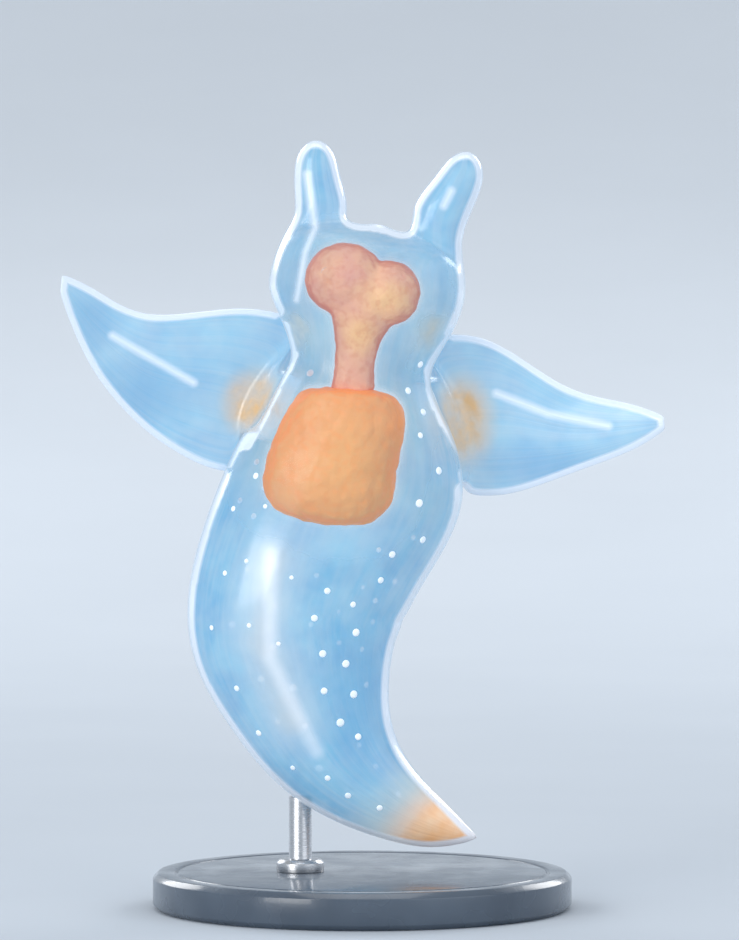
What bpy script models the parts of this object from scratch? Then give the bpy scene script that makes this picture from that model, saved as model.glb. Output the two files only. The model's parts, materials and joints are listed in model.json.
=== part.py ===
"""A life-size sea angel, a naked swimming sea snail, held upright on a small display stand.

Metres, +Z up. The origin is the middle of the stand's underside. The animal's back faces -Y, its
belly and foot face +Y, and its own left lies at -X. The skin is one cage of quads: rings from the
crown to the tip of the tail, with horns, wings, foot lobes and the small nape feelers grown out of
patches of it. The cage is smoothed whole and then parted by thin slits, so that the parts meet
face to face. The organs that show through the clear flesh lie in pockets of their own shape.
"""

import math
from dataclasses import dataclass

import bmesh
import bpy
from mathutils import Vector

MM = 0.001
GAP = 0.3 * MM

# The stand: a flat round base and one short rod.
BASE_RADIUS = 23.0 * MM
BASE_THICKNESS = 4.0 * MM
BASE_ROUNDING = 0.6 * MM
BASE_SEGMENTS = 48
ROD_RADIUS = 1.25 * MM
ROD_SEGMENTS = 24
ROD_X = -6.8 * MM
TAIL_CLEARANCE = 3.0 * MM
FLOAT_HEIGHT = BASE_THICKNESS + TAIL_CLEARANCE

# The cage: points round a ring, counted from the animal's right flank at +X towards the belly.
SEGMENTS = 24
SMOOTHING = 1
RING_SHRINK = (2 + math.cos(2 * math.pi / SEGMENTS)) / 3
BEND_REACH = 2

# Slits reach this far past the flesh that they part.
SLIT_MARGIN = 0.35 * MM


@dataclass(frozen=True)
class Station:
    """A level of a body or an organ, in millimetres above the tail's lowest point."""

    x: float
    y: float
    z: float
    half_width: float
    half_depth: float
    rings: int = 1


# Crown, head, jaw, neck, shoulder, chest, belly, hip, rump, thigh, tail root, tail, tail end, tip.
BODY = (
    Station(1.3, -0.4, 65.2, 10.0, 7.0, 2),
    Station(0.4, -0.5, 60.6, 10.9, 8.3, 2),
    Station(0.5, -0.3, 56.1, 9.0, 7.3, 1),
    Station(-0.1, 0.0, 52.9, 7.5, 6.4, 3),
    Station(-0.8, 0.2, 47.1, 9.8, 8.1, 3),
    Station(-1.0, 0.4, 41.0, 12.8, 9.7, 2),
    Station(-4.8, 0.6, 33.5, 12.4, 9.9, 3),
    Station(-7.3, 0.5, 26.5, 11.9, 9.6, 2),
    Station(-7.2, 0.2, 22.0, 11.5, 8.9, 2),
    Station(-5.9, -0.2, 16.8, 9.6, 7.7, 2),
    Station(-2.9, -0.8, 10.2, 7.2, 5.8, 2),
    Station(2.2, -1.5, 5.4, 4.7, 4.0, 2),
    Station(8.4, -2.2, 2.1, 2.6, 2.2, 2),
    Station(12.8, -2.7, 0.9, 0.0, 0.0),
)
NECK_RING = 5
TRUNK_RING = 6
CROWN_RISE = 2.6

# Cuts across the body, as places between two rings.
NECK_TOP = 3.75
NECK_BASE = 5.45
WAIST = 13.4
LOINS = 17.6
TAIL_BASE = 24.4


@dataclass(frozen=True)
class Rib:
    """A wing's section: its front and rear edge, depth, thickness, and how far it bows outwards."""

    front_x: float
    front_z: float
    rear_x: float
    rear_z: float
    y: float
    thick: float
    bow: float = 0.0


LEFT_WING = (
    Rib(-5.8, 56.6, -13.7, 41.2, 6.4, 2.4, -3.2),
    Rib(-13.0, 58.6, -17.3, 41.7, 5.2, 1.9, -1.5),
    Rib(-23.5, 57.5, -23.9, 45.6, 3.4, 1.4),
    Rib(-29.5, 60.8, -29.8, 52.5, 0.8, 1.1),
    Rib(-32.8, 62.4, -33.0, 60.6, -1.2, 0.8),
)
RIGHT_WING = (
    Rib(5.8, 54.9, 11.3, 38.7, 6.4, 2.4, 3.2),
    Rib(13.6, 55.4, 16.2, 38.6, 5.2, 1.9, 1.5),
    Rib(22.3, 49.7, 23.4, 41.1, 3.4, 1.4),
    Rib(29.3, 48.2, 29.7, 43.5, 0.8, 1.1),
    Rib(33.0, 46.9, 33.1, 45.7, -1.2, 0.8),
)
WING_RINGS = (6, 11)
WING_LOOPS = 2
WING_STALK = 2.2
WING_SLIT = 1.35
MARGIN_SHARE = 0.45
MARGIN_REACH = 0.35


@dataclass(frozen=True)
class Bead:
    """A round section of a horn: its middle and radius."""

    x: float
    y: float
    z: float
    radius: float


LEFT_HORN = (
    Bead(-4.3, -0.4, 69.6, 2.9),
    Bead(-4.9, -0.6, 72.4, 2.6),
    Bead(-5.1, -0.8, 75.2, 2.3),
    Bead(-4.8, -0.9, 76.7, 1.4),
)
RIGHT_HORN = (
    Bead(8.0, -0.4, 68.4, 3.2),
    Bead(9.9, -0.6, 71.3, 2.7),
    Bead(11.3, -0.8, 74.0, 2.35),
    Bead(11.3, -0.9, 75.5, 1.4),
)
HORN_DOME = 0.9
HORN_SLIT = 0.3

# The mouth: lips round a slit that runs from back to belly, between the horns.
LIP_HALF_LENGTH = 2.3
LIP_HALF_WIDTH = 1.15
LIP_HEIGHT = 0.35
SLIT_HALF_WIDTH = 0.15
SLIT_DEPTH = 0.35

# Small feelers on the nape, behind the horns.
FEELER_RADIUS = 0.75
FEELER_LENGTH = 1.9
FEELER_SLIT = 0.7

# The foot, between the wings' roots on the belly side: two side lobes and a middle tongue.
SIDE_LOBE_HEIGHT = 2.1
SIDE_LOBE_THICKNESS = 1.1
TONGUE_LENGTH = 5.6
TONGUE_LIFT = 2.0
TONGUE_THICKNESS = 1.1
LOBE_SLIT = 0.75

# Organs that show through the flesh.
BUCCAL_LOBES = (
    Station(-1.9, 0.0, 62.0, 4.4, 3.6),
    Station(2.9, 0.0, 60.5, 3.5, 3.3),
)
BUCCAL_LOBE_HEIGHTS = (4.0, 3.6)
BUCCAL_FUNNEL = (
    Station(0.2, 0.0, 63.4, 3.0, 2.6),
    Station(0.4, 0.0, 61.0, 4.6, 3.2),
    Station(0.1, 0.0, 58.3, 3.9, 2.9),
    Station(-0.4, 0.0, 56.9, 2.8, 2.3),
)
GULLET = (
    Station(-0.5, 0.0, 56.3, 2.6, 2.1, 2),
    Station(-0.8, 0.15, 53.0, 2.2, 1.9, 2),
    Station(-1.0, 0.3, 50.3, 2.4, 2.1),
)
DIGESTIVE_GLAND = (
    Station(-1.0, 0.4, 50.0, 4.8, 4.0),
    Station(-1.0, 0.5, 47.9, 6.5, 5.0),
    Station(-2.7, 0.6, 43.7, 6.8, 5.4),
    Station(-3.7, 0.6, 40.0, 7.4, 5.5),
    Station(-4.1, 0.6, 37.2, 6.9, 5.0),
    Station(-4.4, 0.6, 35.1, 4.4, 3.4),
)
# The pockets run on past the organs' ends, so that each opens clearly into the next.
FUNNEL_OPENING = Station(-0.5, 0.0, 55.4, 1.7, 1.5)
GULLET_OPENING = Station(-0.9, 0.4, 48.3, 2.2, 2.0)
ORGAN_SEGMENTS = 14
LOBE_RINGS = 9

CLEAR_FLESH = ((0.45, 0.72, 0.88), 0.15)
TAIL_ORANGE = ((0.92, 0.52, 0.24), 0.2)
GLAND_ORANGE = ((0.90, 0.48, 0.20), 0.4)
BUCCAL_SALMON = ((0.86, 0.40, 0.26), 0.4)
SLATE_ACRYLIC = ((0.06, 0.08, 0.11), 0.3)
BRUSHED_STEEL = ((0.62, 0.63, 0.65), 0.3)


def place(x, y, z):
    """A point given in millimetres above the tail's lowest point, in metres above the floor."""
    return Vector((x * MM, y * MM, z * MM + FLOAT_HEIGHT))


def through(values, share):
    """The smooth curve through four values, read between the second and the third."""
    before, start, end, after = values
    rise = (end - before) / 2
    fall = (after - start) / 2
    square = share * share
    cube = square * share
    return (
        (2 * cube - 3 * square + 1) * start
        + (cube - 2 * square + share) * rise
        + (3 * square - 2 * cube) * end
        + (cube - square) * fall
    )


def sampled(rows, counts):
    """Rows of plain numbers, with counts[i] steps of a smooth curve from row i to the next."""
    last = len(rows) - 1
    made = []
    for i in range(last):
        near = (rows[max(i - 1, 0)], rows[i], rows[i + 1], rows[min(i + 2, last)])
        for step in range(counts[i]):
            made.append([through(four, step / counts[i]) for four in zip(*near)])
    made.append(list(rows[last]))
    return made


@dataclass
class Ring:
    """A ring of the body: its middle, the way across it, and its half width and half depth."""

    middle: Vector
    across: Vector
    half_width: float
    half_depth: float

    def point(self, angle):
        """The point at an angle that runs from the right flank towards the belly."""
        wide = self.across * (self.half_width * math.cos(angle))
        return self.middle + wide + Vector((0, self.half_depth * math.sin(angle), 0))


def rings_of(stations, grow=0.0, reach=1):
    """The rings along a row of stations, square to the run over reach rings, larger by grow."""
    rows = [(s.x, s.y, s.z, s.half_width, s.half_depth) for s in stations]
    levels = sampled(rows, [s.rings for s in stations])
    middles = [place(*level[:3]) for level in levels]
    rings = []
    for i, level in enumerate(levels):
        run = middles[min(i + reach, len(levels) - 1)] - middles[max(i - reach, 0)]
        across = Vector((-run.z, 0, run.x)).normalized()
        width = level[3] * MM / RING_SHRINK + grow
        depth = level[4] * MM / RING_SHRINK + grow
        rings.append(Ring(middles[i], across, width, depth))
    return rings


def body_rings(grow=0.0):
    """The rings of the body, turned smoothly where it bends."""
    return rings_of(BODY, grow, BEND_REACH)


def ring_between(rings, at):
    """The ring at a place between two rings, such as 3.5."""
    low = rings[int(at)]
    high = rings[int(at) + 1]
    share = at - int(at)
    return Ring(
        low.middle.lerp(high.middle, share),
        low.across.lerp(high.across, share).normalized(),
        low.half_width + (high.half_width - low.half_width) * share,
        low.half_depth + (high.half_depth - low.half_depth) * share,
    )


class Cage:
    """A mesh of quads whose vertices know their ring and their place round it."""

    def __init__(self, segments):
        self.bm = bmesh.new()
        self.segments = segments
        self.row = self.bm.verts.layers.int.new("row")
        self.column = self.bm.verts.layers.int.new("column")

    def loft(self, rings):
        """Extrudes a circle from ring to ring and leaves both ends open."""
        bm = self.bm
        start = bmesh.ops.create_circle(bm, segments=self.segments, radius=1)["verts"]
        edges = list(bm.edges)
        for vertex in start:
            turn = math.atan2(vertex.co.y, vertex.co.x) / (2 * math.pi)
            vertex[self.column] = round(turn * self.segments) % self.segments
        self.settle(start, 0, rings[0])
        for i, ring in enumerate(rings[1:], 1):
            made = bmesh.ops.extrude_edge_only(bm, edges=edges)["geom"]
            edges = [g for g in made if isinstance(g, bmesh.types.BMEdge)]
            self.settle([g for g in made if isinstance(g, bmesh.types.BMVert)], i, ring)

    def settle(self, vertices, row, ring):
        """Puts the vertices of one row on its ring."""
        for vertex in vertices:
            vertex[self.row] = row
            vertex.co = ring.point(2 * math.pi * vertex[self.column] / self.segments)

    def end_edges(self, row):
        """The open edges of a row."""
        return [e for e in self.bm.edges if e.is_boundary and e.verts[0][self.row] == row]

    def close_to_tip(self, row, tip):
        """Draws the open end at a row out to a single vertex."""
        made = bmesh.ops.extrude_edge_only(self.bm, edges=self.end_edges(row))["geom"]
        vertices = [g for g in made if isinstance(g, bmesh.types.BMVert)]
        bmesh.ops.pointmerge(self.bm, verts=vertices, merge_co=tip)

    def faces_in(self, rows, columns):
        """The faces between two rows and two columns."""
        inside = []
        for face in self.bm.faces:
            spots = [(v[self.row], v[self.column]) for v in face.verts]
            if all(rows[0] <= r <= rows[1] and columns[0] <= c <= columns[1] for r, c in spots):
                inside.append(face)
        return inside

    def grow(self, faces, sections):
        """Extrudes a patch of faces through sections, each a function of row and column."""
        for section in sections:
            made = bmesh.ops.extrude_face_region(self.bm, geom=faces)["geom"]
            old = [face for face in faces if face.is_valid]
            bmesh.ops.delete(self.bm, geom=old, context="FACES")
            faces = [g for g in made if isinstance(g, bmesh.types.BMFace)]
            for vertex in {v for face in faces for v in face.verts}:
                vertex.co = section(vertex[self.row], vertex[self.column])


def solid(name, bm):
    """A new object in the scene from an edit mesh, its faces turned outwards."""
    bm.normal_update()
    bmesh.ops.recalc_face_normals(bm, faces=bm.faces)
    mesh = bpy.data.meshes.new(name)
    bm.to_mesh(mesh)
    bm.free()
    made = bpy.data.objects.new(name, mesh)
    bpy.context.scene.collection.objects.link(made)
    return made


def smoothed(made, levels=SMOOTHING):
    """Adds a Subdivision Surface that looks the same in the viewport and in a render."""
    modifier = made.modifiers.new("smooth", "SUBSURF")
    modifier.levels = levels
    modifier.render_levels = levels
    return applied(made)


def applied(made):
    """Bakes an object's modifiers into its mesh."""
    graph = bpy.context.evaluated_depsgraph_get()
    mesh = bpy.data.meshes.new_from_object(made.evaluated_get(graph))
    made.modifiers.clear()
    made.data = mesh
    return made


def removed(objects):
    """Takes helper objects out of the file."""
    for helper in list(objects):
        bpy.data.objects.remove(helper)


def combined(made, others, operation):
    """Applies one Boolean of a set of closed meshes to an object, and removes them."""
    folder = bpy.data.collections.new("tools")
    for other in others:
        folder.objects.link(other)
    modifier = made.modifiers.new("combine", "BOOLEAN")
    modifier.operation = operation
    modifier.operand_type = "COLLECTION"
    modifier.collection = folder
    modifier.solver = "EXACT"
    bpy.context.view_layer.update()
    applied(made)
    removed(others)
    bpy.data.collections.remove(folder)
    return made


class Crown:
    """The square grid of vertices that closes the top ring of the head."""

    SIDE = SEGMENTS // 4

    def __init__(self, cage, rings):
        self.cage = cage
        self.ring = rings[0]
        self.down = (rings[1].middle - rings[0].middle).normalized()
        self.corner = SEGMENTS // 8
        self.build()

    def rim_column(self, i, j):
        """The ring's column at a border spot of the grid, or None inside it."""
        side = self.SIDE
        if i == side:
            return (self.corner - side + j) % SEGMENTS
        if j == side:
            return self.corner + side - i
        if i == 0:
            return self.corner + 2 * side - j + side - side
        if j == 0:
            return self.corner + 2 * side + i
        return None

    def spot(self, i, j):
        """The place of a grid point on the domed crown."""
        u = 2 * i / self.SIDE - 1
        v = 2 * j / self.SIDE - 1
        wide = u * math.sqrt(1 - v * v / 2)
        deep = v * math.sqrt(1 - u * u / 2)
        rise = CROWN_RISE * MM * (1 - wide * wide - deep * deep)
        across = self.ring.across * (self.ring.half_width * wide)
        return self.ring.middle + across + Vector((0, self.ring.half_depth * deep, 0)) - self.down * rise

    def build(self):
        """Makes the grid's inner vertices and its faces, numbered in rows below zero."""
        bm = self.cage.bm
        rim = {v[self.cage.column]: v for v in bm.verts if v[self.cage.row] == 0}
        self.grid = {}
        for i in range(self.SIDE + 1):
            for j in range(self.SIDE + 1):
                column = self.rim_column(i, j)
                if column is None:
                    self.grid[i, j] = bm.verts.new(self.spot(i, j))
                else:
                    self.grid[i, j] = rim[column]
        self.faces = {}
        for i in range(self.SIDE):
            for j in range(self.SIDE):
                corners = ((i, j), (i + 1, j), (i + 1, j + 1), (i, j + 1))
                self.faces[i, j] = bm.faces.new([self.grid[c] for c in corners])

    def grow(self, first, sections):
        """Grows a bud from the two by two faces whose low corner is first."""
        cage = self.cage
        kept = {}
        for i in range(3):
            for j in range(3):
                vertex = self.grid[first[0] + i, first[1] + j]
                kept[vertex] = (vertex[cage.row], vertex[cage.column])
                vertex[cage.row] = i
                vertex[cage.column] = j
        patch = [self.faces[first[0] + i, first[1] + j] for i in range(2) for j in range(2)]
        cage.grow(patch, sections)
        for vertex, (row, column) in kept.items():
            if vertex.is_valid:
                vertex[cage.row] = row
                vertex[cage.column] = column


def disc_spot(i, j):
    """The place in a unit disc of a spot in a three by three patch."""
    u = i - 1
    v = j - 1
    return u * math.sqrt(1 - v * v / 2), v * math.sqrt(1 - u * u / 2)


def horn_sections(beads):
    """The sections of a horn, each square to its run."""
    shrink = (2 + math.cos(math.pi / 4)) / 3
    sections = []
    for k, bead in enumerate(beads):
        middle = place(bead.x, bead.y, bead.z)
        ahead = beads[min(k + 1, len(beads) - 1)]
        behind = beads[max(k - 1, 0)]
        run = place(ahead.x, ahead.y, ahead.z) - place(behind.x, behind.y, behind.z)
        across = Vector((run.z, 0, -run.x)).normalized()
        radius = bead.radius * MM / shrink
        dome = run.normalized() * (HORN_DOME * MM if bead is beads[-1] else 0)

        def section(i, j, middle=middle, across=across, radius=radius, dome=dome):
            wide, deep = disc_spot(i, j)
            rise = dome * (1 - wide * wide - deep * deep)
            return middle + across * (radius * wide) + Vector((0, radius * deep, 0)) + rise

        sections.append(section)
    return sections


def mouth_sections(crown):
    """Lips raised round a narrow slit, in the middle of the crown."""
    up = -crown.down
    middle = crown.spot(crown.SIDE / 2, crown.SIDE / 2)
    sizes = (
        (LIP_HALF_WIDTH, LIP_HALF_LENGTH, 0.0),
        (LIP_HALF_WIDTH * 0.62, LIP_HALF_LENGTH * 0.9, LIP_HEIGHT),
        (SLIT_HALF_WIDTH, LIP_HALF_LENGTH * 0.72, -SLIT_DEPTH),
    )
    sections = []
    for wide_size, deep_size, height in sizes:

        def section(i, j, wide_size=wide_size, deep_size=deep_size, height=height):
            wide, deep = disc_spot(i, j)
            across = crown.ring.across * (wide_size * MM * wide)
            return middle + across + Vector((0, deep_size * MM * deep, 0)) + up * (height * MM)

        sections.append(section)
    return sections


class Patch:
    """A patch of the body's skin from which a bud grows: its middle, its sides and its outward way."""

    def __init__(self, rings, rows, columns):
        self.rows = rows
        self.columns = columns
        self.points = {}
        for row in range(rows[0], rows[1] + 1):
            for column in range(columns[0], columns[1] + 1):
                angle = 2 * math.pi * column / SEGMENTS
                self.points[row, column] = rings[row].point(angle)
        corners = [self.points[r, c] for r in rows for c in columns]
        self.middle = sum(self.points.values(), Vector()) / len(self.points)
        self.along = (corners[2] + corners[3] - corners[0] - corners[1]).normalized()
        round_way = corners[1] + corners[3] - corners[0] - corners[2]
        self.out = round_way.cross(self.along).normalized()
        centre = (rings[rows[0]].middle + rings[rows[1]].middle) / 2
        if self.out.dot(self.middle - centre) < 0:
            self.out = -self.out
        self.round = self.out.cross(self.along)
        if self.round.dot(round_way) < 0:
            self.round = -self.round
        self.half_long = (corners[2] + corners[3] - corners[0] - corners[1]).length / 4
        self.half_round = round_way.length / 4

    def shares(self, row, column):
        """How far a spot lies along and round the patch, each from -1 to 1."""
        along = 2 * (row - self.rows[0]) / (self.rows[1] - self.rows[0]) - 1
        around = 2 * (column - self.columns[0]) / (self.columns[1] - self.columns[0]) - 1
        return along, around

    def flat(self, height, long_share=1.0, round_share=1.0, slide=0.0):
        """A flat section over the patch, at a height in millimetres."""

        def section(row, column):
            along, around = self.shares(row, column)
            side = self.along * (along * self.half_long * long_share + slide * MM)
            return (
                self.middle
                + self.out * (height * MM)
                + side
                + self.round * (around * self.half_round * round_share)
            )

        return section

    def slit(self, height, long_share=1.0, round_share=1.0, slide=0.0, margin=SLIT_MARGIN):
        """A thin box that parts a bud from the body at a height over the patch."""
        centre = self.middle + self.out * (height * MM) + self.along * (slide * MM)
        half = (
            self.along * (self.half_long * long_share + margin),
            self.round * (self.half_round * round_share + margin),
            self.out * (GAP / 2),
        )
        return box_of(centre, half)


def box_of(centre, half):
    """A closed box from its centre and three half sides."""
    bm = bmesh.new()
    bmesh.ops.create_cube(bm, size=2)
    for vertex in bm.verts:
        x, y, z = vertex.co
        vertex.co = centre + half[0] * x + half[1] * y + half[2] * z
    return solid("slit", bm)


def wing_sections(patch, ribs):
    """A wing's sections: a flat stalk over the patch, then slices of the blade out to its tip."""
    rows = [(r.front_x, r.front_z, r.rear_x, r.rear_z, r.y, r.thick, r.bow) for r in ribs]
    sections = [patch.flat(WING_STALK * 0.3, 0.92, 0.9), patch.flat(WING_STALK, 0.86, 0.8)]
    for level in sampled(rows, [WING_LOOPS] * len(rows)):
        front = place(level[0], level[4], level[1])
        rear = place(level[2], level[4], level[3])
        thick, bow = level[5] * MM, level[6] * MM

        def section(row, column, front=front, rear=rear, thick=thick, bow=bow):
            along, around = patch.shares(row, column)
            chord = rear - front
            edge = abs(along) == 1
            reach = MARGIN_REACH * thick if edge and around == 0 else 0
            depth = thick * (MARGIN_SHARE if edge else 1) / 2
            middle = front + chord * ((along + 1) / 2) + Vector((bow * (1 - along * along), 0, 0))
            side = patch.round.y / abs(patch.round.y)
            return middle + chord.normalized() * (reach * along) + Vector((0, depth * around * side, 0))

        sections.append(section)
    return sections


def tongue_sections(patch):
    """The foot's middle lobe, a tongue that bends down along the belly."""
    half = TONGUE_THICKNESS / 2
    steps = ((0.9, 0.9, 0.0), (TONGUE_LIFT, 0.75, 0.35), (TONGUE_LIFT, 0.45, 1.0))
    sections = []
    for lift, wide, reach in steps:

        def section(row, column, lift=lift, wide=wide, reach=reach):
            along, around = patch.shares(row, column)
            down = patch.along * ((reach * TONGUE_LENGTH + along * half * (1 - reach)) * MM)
            out = patch.out * ((lift - along * half * min(reach * 3, 1)) * MM)
            if reach == 0:
                down = patch.along * (along * patch.half_long * wide)
            side = patch.round * (around * patch.half_round * wide)
            return patch.middle + out + down + side

        sections.append(section)
    return sections


def whole_skin():
    """The animal's skin in one closed piece, with the slits that part its buds."""
    rings = body_rings()
    cage = Cage(SEGMENTS)
    cage.loft(rings[:-1])
    cage.close_to_tip(len(rings) - 2, rings[-1].middle)
    crown = Crown(cage, rings)
    slits = []

    side = crown.SIDE
    middle = side // 2 - 1
    crown.grow((0, middle), horn_sections(LEFT_HORN))
    crown.grow((side - 2, middle), horn_sections(RIGHT_HORN))
    crown.grow((middle, middle), mouth_sections(crown))
    slits += [horn_slit(LEFT_HORN), horn_slit(RIGHT_HORN)]

    for columns, ribs in (((9, 11), LEFT_WING), ((1, 3), RIGHT_WING)):
        root = Patch(rings, WING_RINGS, columns)
        cage.grow(cage.faces_in(WING_RINGS, columns), wing_sections(root, ribs))
        slits.append(root.slit(WING_SLIT, margin=2 * SLIT_MARGIN))

    for columns in ((16, 17), (19, 20)):
        root = Patch(rings, (1, 2), columns)
        round_share = FEELER_RADIUS * MM / root.half_round
        long_share = FEELER_RADIUS * MM / root.half_long
        stem = [
            root.flat(height, long_share * share, round_share * share)
            for height, share in ((0.1, 1.4), (FEELER_LENGTH * 0.6, 1.1), (FEELER_LENGTH, 0.6))
        ]
        cage.grow(cage.faces_in((1, 2), columns), stem)
        slits.append(root.slit(FEELER_SLIT, long_share * 1.1, round_share * 1.1))

    for columns in ((4, 5), (7, 8)):
        root = Patch(rings, (7, 9), columns)
        round_share = SIDE_LOBE_THICKNESS / 2 * MM / root.half_round
        lobe = [
            root.flat(0.9, 0.95, round_share * 1.2),
            root.flat(SIDE_LOBE_HEIGHT, 0.7, round_share * 0.8),
        ]
        cage.grow(cage.faces_in((7, 9), columns), lobe)
        slits.append(root.slit(LOBE_SLIT, 1.0, round_share * 1.5))

    root = Patch(rings, (10, 11), (5, 7))
    cage.grow(cage.faces_in((10, 11), (5, 7)), tongue_sections(root))
    slits.append(root.slit(LOBE_SLIT, 0.95, 0.95))

    skin = smoothed(solid("skin", cage.bm))
    for at in (NECK_TOP, NECK_BASE, WAIST, LOINS, TAIL_BASE):
        slits.append(cross_slit(ring_between(rings, at)))
    return skin, slits


def horn_slit(beads):
    """A thin box that parts a horn from the crown."""
    foot, top = beads[0], beads[1]
    start = place(foot.x, foot.y, foot.z)
    run = (place(top.x, top.y, top.z) - start).normalized()
    centre = start + run * (HORN_SLIT * MM)
    across = Vector((run.z, 0, -run.x)).normalized()
    half = foot.radius * MM + 2 * SLIT_MARGIN
    return box_of(centre, (across * half, run.cross(across) * half, run * (GAP / 2)))


def cross_slit(ring):
    """A thin round plate that parts the body across a ring."""
    bm = bmesh.new()
    bmesh.ops.create_cone(
        bm, cap_ends=True, segments=SEGMENTS, radius1=1, radius2=1, depth=1
    )
    along = Vector((-ring.across.z, 0, ring.across.x))
    for vertex in bm.verts:
        x, y, z = vertex.co
        wide = ring.across * (x * (ring.half_width + SLIT_MARGIN))
        deep = Vector((0, y * (ring.half_depth + SLIT_MARGIN), 0))
        vertex.co = ring.middle + wide + deep + along * (z * GAP)
    return solid("slit", bm)


def organ(name, stations, grow=0.0, levels=SMOOTHING):
    """A soft organ lofted through its stations, with rounded ends."""
    rings = rings_of(stations, grow)
    run = (rings[1].middle - rings[0].middle).normalized()
    end_run = (rings[-1].middle - rings[-2].middle).normalized()
    rings[0].middle -= run * grow
    rings[-1].middle += end_run * grow
    cage = Cage(ORGAN_SEGMENTS)
    cage.loft(rings)
    bmesh.ops.holes_fill(cage.bm, edges=[e for e in cage.bm.edges if e.is_boundary])
    return smoothed(solid(name, cage.bm), levels)


def buccal_lobe(station, height, grow=0.0):
    """One rounded lobe of the mouth's hook sacs."""
    bm = bmesh.new()
    bmesh.ops.create_uvsphere(bm, u_segments=ORGAN_SEGMENTS, v_segments=LOBE_RINGS, radius=1)
    centre = place(station.x, station.y, station.z)
    for vertex in bm.verts:
        x, y, z = vertex.co
        vertex.co = centre + Vector(
            (
                x * (station.half_width * MM + grow),
                y * (station.half_depth * MM + grow),
                z * (height * MM + grow),
            )
        )
    return solid("lobe", bm)


def buccal_mass(grow=0.0):
    """The two hook sacs and the funnel below them, joined."""
    opening = (FUNNEL_OPENING,) if grow else ()
    funnel = organ("buccal_mass", BUCCAL_FUNNEL + opening, grow)
    lobes = [buccal_lobe(s, h, grow) for s, h in zip(BUCCAL_LOBES, BUCCAL_LOBE_HEIGHTS)]
    return combined(funnel, lobes, "UNION")


def islands(mesh):
    """The separate closed surfaces of a mesh, as lists of faces."""
    bm = bmesh.new()
    bm.from_mesh(mesh)
    left = set(bm.faces)
    found = []
    while left:
        todo = [left.pop()]
        island = list(todo)
        while todo:
            face = todo.pop()
            for edge in face.edges:
                for near in edge.link_faces:
                    if near in left:
                        left.remove(near)
                        todo.append(near)
                        island.append(near)
        found.append(island)
    return bm, found


def parted(skin, seeds):
    """One object for each seed: the closed surface of the skin that comes nearest to it."""
    bm, found = islands(skin.data)
    parts = []
    for name, seed in seeds.items():
        island = min(found, key=lambda faces: min((f.calc_center_median() - seed).length for f in faces))
        found.remove(island)
        copy = bmesh.new()
        twins = {}
        for face in island:
            corners = [twins.get(v) or twins.setdefault(v, copy.verts.new(v.co)) for v in face.verts]
            copy.faces.new(corners)
        parts.append(solid(name, copy))
    bm.free()
    removed([skin])
    return parts


def body_seeds():
    """A point on the surface of each part of the body."""
    rings = body_rings()
    back = -math.pi / 2
    belly = math.pi / 2
    seeds = {
        "head": rings[1].point(0),
        "neck": ring_between(rings, (NECK_TOP + NECK_BASE) / 2).point(back),
        "trunk_front": rings[9].point(back),
        "trunk_middle": rings[15].point(back),
        "trunk_rear": rings[21].point(back),
        "tail": rings[-3].point(back),
        "horn_left": place(LEFT_HORN[-1].x, LEFT_HORN[-1].y, LEFT_HORN[-1].z),
        "horn_right": place(RIGHT_HORN[-1].x, RIGHT_HORN[-1].y, RIGHT_HORN[-1].z),
        "wing_left": place(LEFT_WING[-1].front_x, LEFT_WING[-1].y, LEFT_WING[-1].front_z),
        "wing_right": place(RIGHT_WING[-1].front_x, RIGHT_WING[-1].y, RIGHT_WING[-1].front_z),
    }
    for name, rows, columns, height in (
        ("nape_feeler_left", (1, 2), (16, 17), FEELER_LENGTH),
        ("nape_feeler_right", (1, 2), (19, 20), FEELER_LENGTH),
        ("foot_lobe_right", (7, 9), (4, 5), SIDE_LOBE_HEIGHT),
        ("foot_lobe_left", (7, 9), (7, 8), SIDE_LOBE_HEIGHT),
        ("foot_tongue", (10, 11), (5, 7), TONGUE_LIFT),
    ):
        root = Patch(rings, rows, columns)
        seeds[name] = root.middle + root.out * (height * MM)
    return seeds


def stand_base():
    """The flat round base, its edges softly rounded."""
    bm = bmesh.new()
    bmesh.ops.create_cone(
        bm,
        cap_ends=True,
        segments=BASE_SEGMENTS,
        radius1=BASE_RADIUS,
        radius2=BASE_RADIUS,
        depth=BASE_THICKNESS,
    )
    bmesh.ops.translate(bm, verts=bm.verts, vec=(0, 0, BASE_THICKNESS / 2))
    base = solid("stand_base", bm)
    bevel = base.modifiers.new("rounding", "BEVEL")
    bevel.width = BASE_ROUNDING
    bevel.segments = 2
    return base


def stand_rod():
    """The rod from the base to the underside of the trunk, its top cut to the trunk's shape."""
    low = BASE_THICKNESS + GAP
    high = place(0, 0, BODY[8].z).z
    bm = bmesh.new()
    bmesh.ops.create_cone(
        bm,
        cap_ends=True,
        segments=ROD_SEGMENTS,
        radius1=ROD_RADIUS,
        radius2=ROD_RADIUS,
        depth=high - low,
    )
    bmesh.ops.translate(bm, verts=bm.verts, vec=(ROD_X, 0, (low + high) / 2))
    rod = solid("stand_rod", bm)
    rings = body_rings(GAP)
    cage = Cage(SEGMENTS)
    cage.loft(rings[TRUNK_RING:-1])
    bmesh.ops.holes_fill(cage.bm, edges=[e for e in cage.bm.edges if e.is_boundary])
    return combined(rod, [smoothed(solid("trunk_space", cage.bm))], "DIFFERENCE")


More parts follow.
